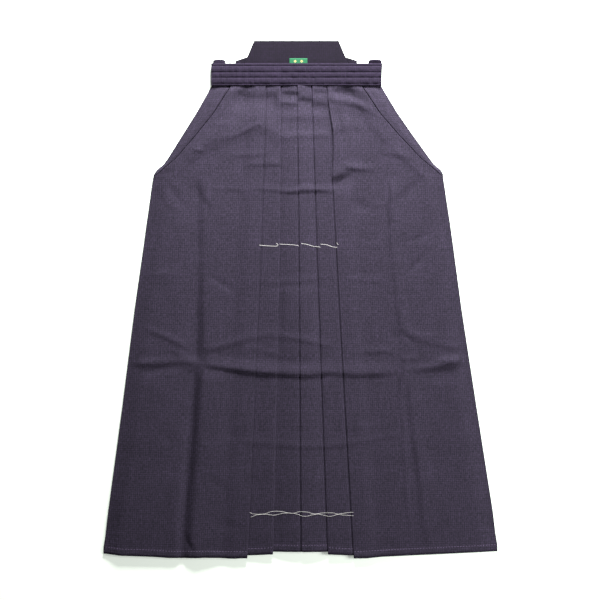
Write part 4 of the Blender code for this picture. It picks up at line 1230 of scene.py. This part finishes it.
# %% Rows of stitching on the band
BAND_STITCH, BAND_STITCH_SPACING, BAND_STITCH_RISE = (0.00045, 0.00045, 0.0023), 0.0031, 0.00008
BAND_STITCH_IN = 0.003
stitch_x = np.linspace(BAND_LOW.x + BAND_STITCH_IN, BAND_HIGH.x - BAND_STITCH_IN, 160)
band_paths = [[(x, WAIST_Y + ridge.lower, top_of_band(x, WAIST_Y + ridge.lower) + BAND_STITCH_RISE)
               for x in stitch_x] for ridge in BAND_RIDGES[:-1]]
band_stitches = along_paths("band_stitches", band_paths, STITCHES,
                            {"Spacing": BAND_STITCH_SPACING, "Size": BAND_STITCH, "Thread": SEAM_THREAD})

# %% Blind stitches above the hem
HEM_STITCH, HEM_STITCH_SPACING, HEM_STITCH_RISE = (0.0007, 0.0007, 0.0034), 0.0055, 0.00005
HEM_STITCH_UP = 0.0128
HEM_STITCH_START, HEM_STITCH_IN = 0.374, 0.003
HEM_STITCH_STEP = 0.004
LEFT_MIDDLE_SHIFT = 0.001


def hem_line(side):
    """Paths along the hem, one for each visible face."""
    outer, inner = outer_fold(side, FRONT_LENGTH), read(INNER_PLEAT, FRONT_LENGTH)
    middle = CENTRE_EDGE if side > 0 else CENTRE_EDGE + LEFT_MIDDLE_SHIFT
    runs = [(HEM_STITCH_START, outer + HEM_STITCH_IN, HEM_AT_SIDE, HEM_AT_OUTER_FOLD),
            (outer - HEM_STITCH_IN, inner + HEM_STITCH_IN, HEM_SECOND_START, HEM_SECOND_END),
            (inner - HEM_STITCH_IN, middle + HEM_STITCH_IN, HEM_MIDDLE, HEM_MIDDLE)]
    made = []
    for start, stop, end_start, end_stop in runs:
        path = []
        for share in np.linspace(0.0, 1.0, max(6, int(abs(start - stop) / HEM_STITCH_STEP))):
            below = end_start + share * (end_stop - end_start) - HEM_STITCH_UP
            x, y, _ = place(side, start + share * (stop - start), below, 0.0)
            path.append((x, y, top_of_front(x, y) + HEM_STITCH_RISE))
        made.append(path)
    return made


hem_stitches = along_paths("hem_stitches", hem_line(-1) + hem_line(1), STITCHES,
                           {"Spacing": HEM_STITCH_SPACING, "Size": HEM_STITCH, "Thread": HEM_THREAD})

# %% [markdown]
# ## Basting threads
# Long white stitches hold the pleats until the garment is first worn. The upper row is four slanting
# stitches over the pleats, with two short ends. The lower row is two strands that cross several times.

# %% Tables of the basting threads, in millimetres of (x, below)
UPPER_BASTING = [[(-79.7, 307.2), (-61, 308.6), (-50, 309.2), (-43, 308.4)], [(-47, 303.6), (-42.5, 306.4)],
                 [(-40.5, 305.1), (-22, 306.2), (-8, 307.4), (-3.7, 309.0)],
                 [(1.5, 304.0), (13, 306.0), (24, 309.2), (38.4, 311.0)],
                 [(38.6, 305.3), (50, 306.4), (60, 310.0), (70.6, 311.4)], [(69.5, 302.4), (72.4, 306.3)]]
LOWER_BASTING = [[(-97.3, 821.8), (-89.4, 824.9), (-69.7, 824.5), (-56, 819.9), (-36.3, 819.9),
                  (-16.6, 823.4), (-2.7, 819.9), (12.9, 820.4), (26.8, 824), (42.5, 822.4), (62.5, 822.4),
                  (76, 825.9), (101.7, 827.8)],
                 [(-96.3, 830.7), (-81.4, 825.9), (-65.8, 824.9), (-50, 826.8), (-32.2, 823), (-12.5, 823),
                  (6.8, 828.4), (22.8, 825.9), (34.7, 824.5), (56.4, 828.8), (76, 824), (101.7, 820.9)]]
UPPER_RADIUS, LOWER_RADIUS = 0.00026, 0.00022
BASTING_STEP, BASTING_REST, CROSSING_LIFT = 0.0018, 0.75, 0.0004
PULLED_TIGHT = 2          # passes that keep a thread from dipping into every hollow
print(len(UPPER_BASTING), "upper and", len(LOWER_BASTING), "lower strands")


# %% Threads that lie on the cloth
def smooth_path(points, step):
    """Points a step apart on a smooth curve through the given ones."""
    points = np.array(points) * MILLIMETRE
    padded = np.vstack([2 * points[0] - points[1], points, 2 * points[-1] - points[-2]])
    made = []
    for a, b, c, d in zip(padded, padded[1:], padded[2:], padded[3:]):
        count = max(2, int(np.linalg.norm(c - b) / step))
        for share in np.linspace(0.0, 1.0, count, endpoint=False):
            made.append(0.5 * (2 * b + (c - a) * share + (2 * a - 5 * b + 4 * c - d) * share ** 2
                               + (3 * b - a - 3 * c + d) * share ** 3))
    return np.array(made + [points[-1]])


def basting(paths, radius, over):
    """Threads that lie on the cloth and dip into it at their ends. Over lifts each above the one before."""
    made = []
    for number, path in enumerate(paths):
        points = smooth_path(path, BASTING_STEP)
        x, y = points[:, 0], WAIST_Y - points[:, 1]
        z = np.array([top_of_front(a, b) for a, b in zip(x, y)])
        for _ in range(PULLED_TIGHT):
            z[1:-1] = np.maximum(z[1:-1], (z[:-2] + z[2:]) / 2)
        z = z + radius * BASTING_REST + over * number
        from_end = np.minimum(np.arange(len(z)), np.arange(len(z))[::-1])
        dip = ease(from_end / 2.0)
        made.append(np.stack([x, y, z - (1.0 - dip) * radius], axis=-1))
    return made


upper_basting = along_paths("upper_basting", basting(UPPER_BASTING, UPPER_RADIUS, 0.0), THREAD_RUN,
                            {"Radius": UPPER_RADIUS, "Thread": BASTING_THREAD})
lower_basting = along_paths("lower_basting", basting(LOWER_BASTING, LOWER_RADIUS, CROSSING_LIFT), THREAD_RUN,
                            {"Radius": LOWER_RADIUS, "Thread": BASTING_THREAD})

# %% [markdown]
# ## Attach each piece
# Every piece rides on the one body, and the table lists its slot and the imported solid that it refines,
# which is hidden.

# %% Riding, slots and what each stands for
PieceRow = namedtuple("PieceRow", "piece node slot")
PIECES = [PieceRow(front_left, "front_leg_left", "trouser_cloth"),
          PieceRow(front_right, "front_leg_right", "trouser_cloth"),
          PieceRow(back_left, "back_leg_left", "trouser_cloth"),
          PieceRow(back_right, "back_leg_right", "trouser_cloth"),
          PieceRow(leaf_left, "leaf_fold_left", "trouser_cloth"),
          PieceRow(leaf_right, "leaf_fold_right", "trouser_cloth"),
          PieceRow(gusset, "crotch_gusset", "trouser_cloth"),
          PieceRow(band, "front_band", "band_cloth"),
          PieceRow(front_tie_left, "front_tie_left", "band_cloth"),
          PieceRow(front_tie_right, "front_tie_right", "band_cloth"),
          PieceRow(back_tie_left, "back_tie_left", "band_cloth"),
          PieceRow(back_tie_right, "back_tie_right", "band_cloth"),
          PieceRow(board_piece, "back_board", "board_cloth"),
          PieceRow(label_piece, "woven_label", "label_satin")]
for row in PIECES:
    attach(row.piece, "root")
    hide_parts(row.node)
for thread, slot in ((band_stitches, "band_cloth"), (hem_stitches, "trouser_cloth"),
                     (upper_basting, "trouser_cloth"), (lower_basting, "trouser_cloth")):
    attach(thread, "root")
print(len(PIECES), "pieces of cloth and 4 of thread")

# %% [markdown]
# ## Floor, light and camera
# The garment lies on a pale floor between two soft lights: a near one beyond the waist, so the cloth is
# lighter at the waist than at the hem, and a low one far to the right, which shows the creases that run
# along the legs. The camera looks straight down.

# %% The floor
FLOOR_HALF = 4.0
FLOOR_GLOW, FLOOR_GLOW_COLOUR = 0.31, (0.93, 1.0, 0.92, 1.0)      # lit from below, as white backdrops are
floor_mesh = bpy.data.meshes.new("floor")
floor_mesh.from_pydata([(across * FLOOR_HALF, along_y * FLOOR_HALF, 0)
                        for across, along_y in ((-1, -1), (1, -1), (1, 1), (-1, 1))], [], [(0, 1, 2, 3)])
floor = bpy.data.objects.new("floor", floor_mesh)
bpy.context.scene.collection.objects.link(floor)
paper, paper_tree, paper_shader = new_material("white backdrop paper", 0.9, 0.0, 0.1)
paper_grain = add(paper_tree, "ShaderNodeTexNoise", {"Scale": 300.0},
                  {"Vector": add(paper_tree, "ShaderNodeTexCoord").outputs["Object"]})
paper_tone = add(paper_tree, "ShaderNodeMapRange", {"To Min": 0.90, "To Max": 0.92},
                 {"Value": paper_grain.outputs["Fac"]})
paper_tint = add(paper_tree, "ShaderNodeVectorMath", {"operation": "SCALE", 0: colour("#F5FEF3")[:3]},
                 {"Scale": paper_tone.outputs["Result"]})
paper_tree.links.new(paper_tint.outputs["Vector"], paper_shader.inputs["Base Color"])
paper_shader.inputs["Emission Color"].default_value = FLOOR_GLOW_COLOUR
paper_shader.inputs["Emission Strength"].default_value = FLOOR_GLOW
floor_mesh.materials.append(paper)
print("floor", 2 * FLOOR_HALF, "m square")


# %% The lights
# where and aim are places, size is the light's side in metres, and power is in watts
Light = namedtuple("Light", "name where aim size power")
LIGHTS = [Light("window", (0.10, 1.20, 0.54), (0.0, 0.20, 0.0), 0.42, 71.0),
          Light("side window", (1.60, -0.35, 0.85), (0.0, -0.15, 0.0), 0.60, 43.0)]
ROOM_LIGHT = 0.12


def soft_light(name, where, aim, size, power):
    """A square area light that faces a point on the garment."""
    data = bpy.data.lights.new(name, "AREA")
    data.size, data.energy = size, power
    made = bpy.data.objects.new(name, data)
    made.location = where
    made.rotation_euler = (Vector(aim) - Vector(where)).to_track_quat("-Z", "Y").to_euler()
    bpy.context.scene.collection.objects.link(made)


for light in LIGHTS:
    soft_light(*light)
world = bpy.data.worlds.new("pale room")
world.use_nodes = True
world.node_tree.nodes["Background"].inputs["Color"].default_value = (1.0, 1.0, 1.0, 1.0)
world.node_tree.nodes["Background"].inputs["Strength"].default_value = ROOM_LIGHT
bpy.context.scene.world = world
bpy.context.scene.view_settings.view_transform = "Standard"
print(len(LIGHTS), "lights")

# %% The camera
FRAME_WIDTH = 1.158       # what the view spans on the floor
LENS, SENSOR = 85.0, 36.0
CAMERA_X, CAMERA_Y = -0.001, -0.0014
camera_data = bpy.data.cameras.new("camera")
camera_data.lens, camera_data.sensor_width = LENS, SENSOR
camera = bpy.data.objects.new("camera", camera_data)
camera.location = (CAMERA_X, CAMERA_Y, FRAME_WIDTH * LENS / SENSOR)
bpy.context.scene.collection.objects.link(camera)
bpy.context.scene.camera = camera
print("camera at a height of", round(camera.location.z, 3), "m")
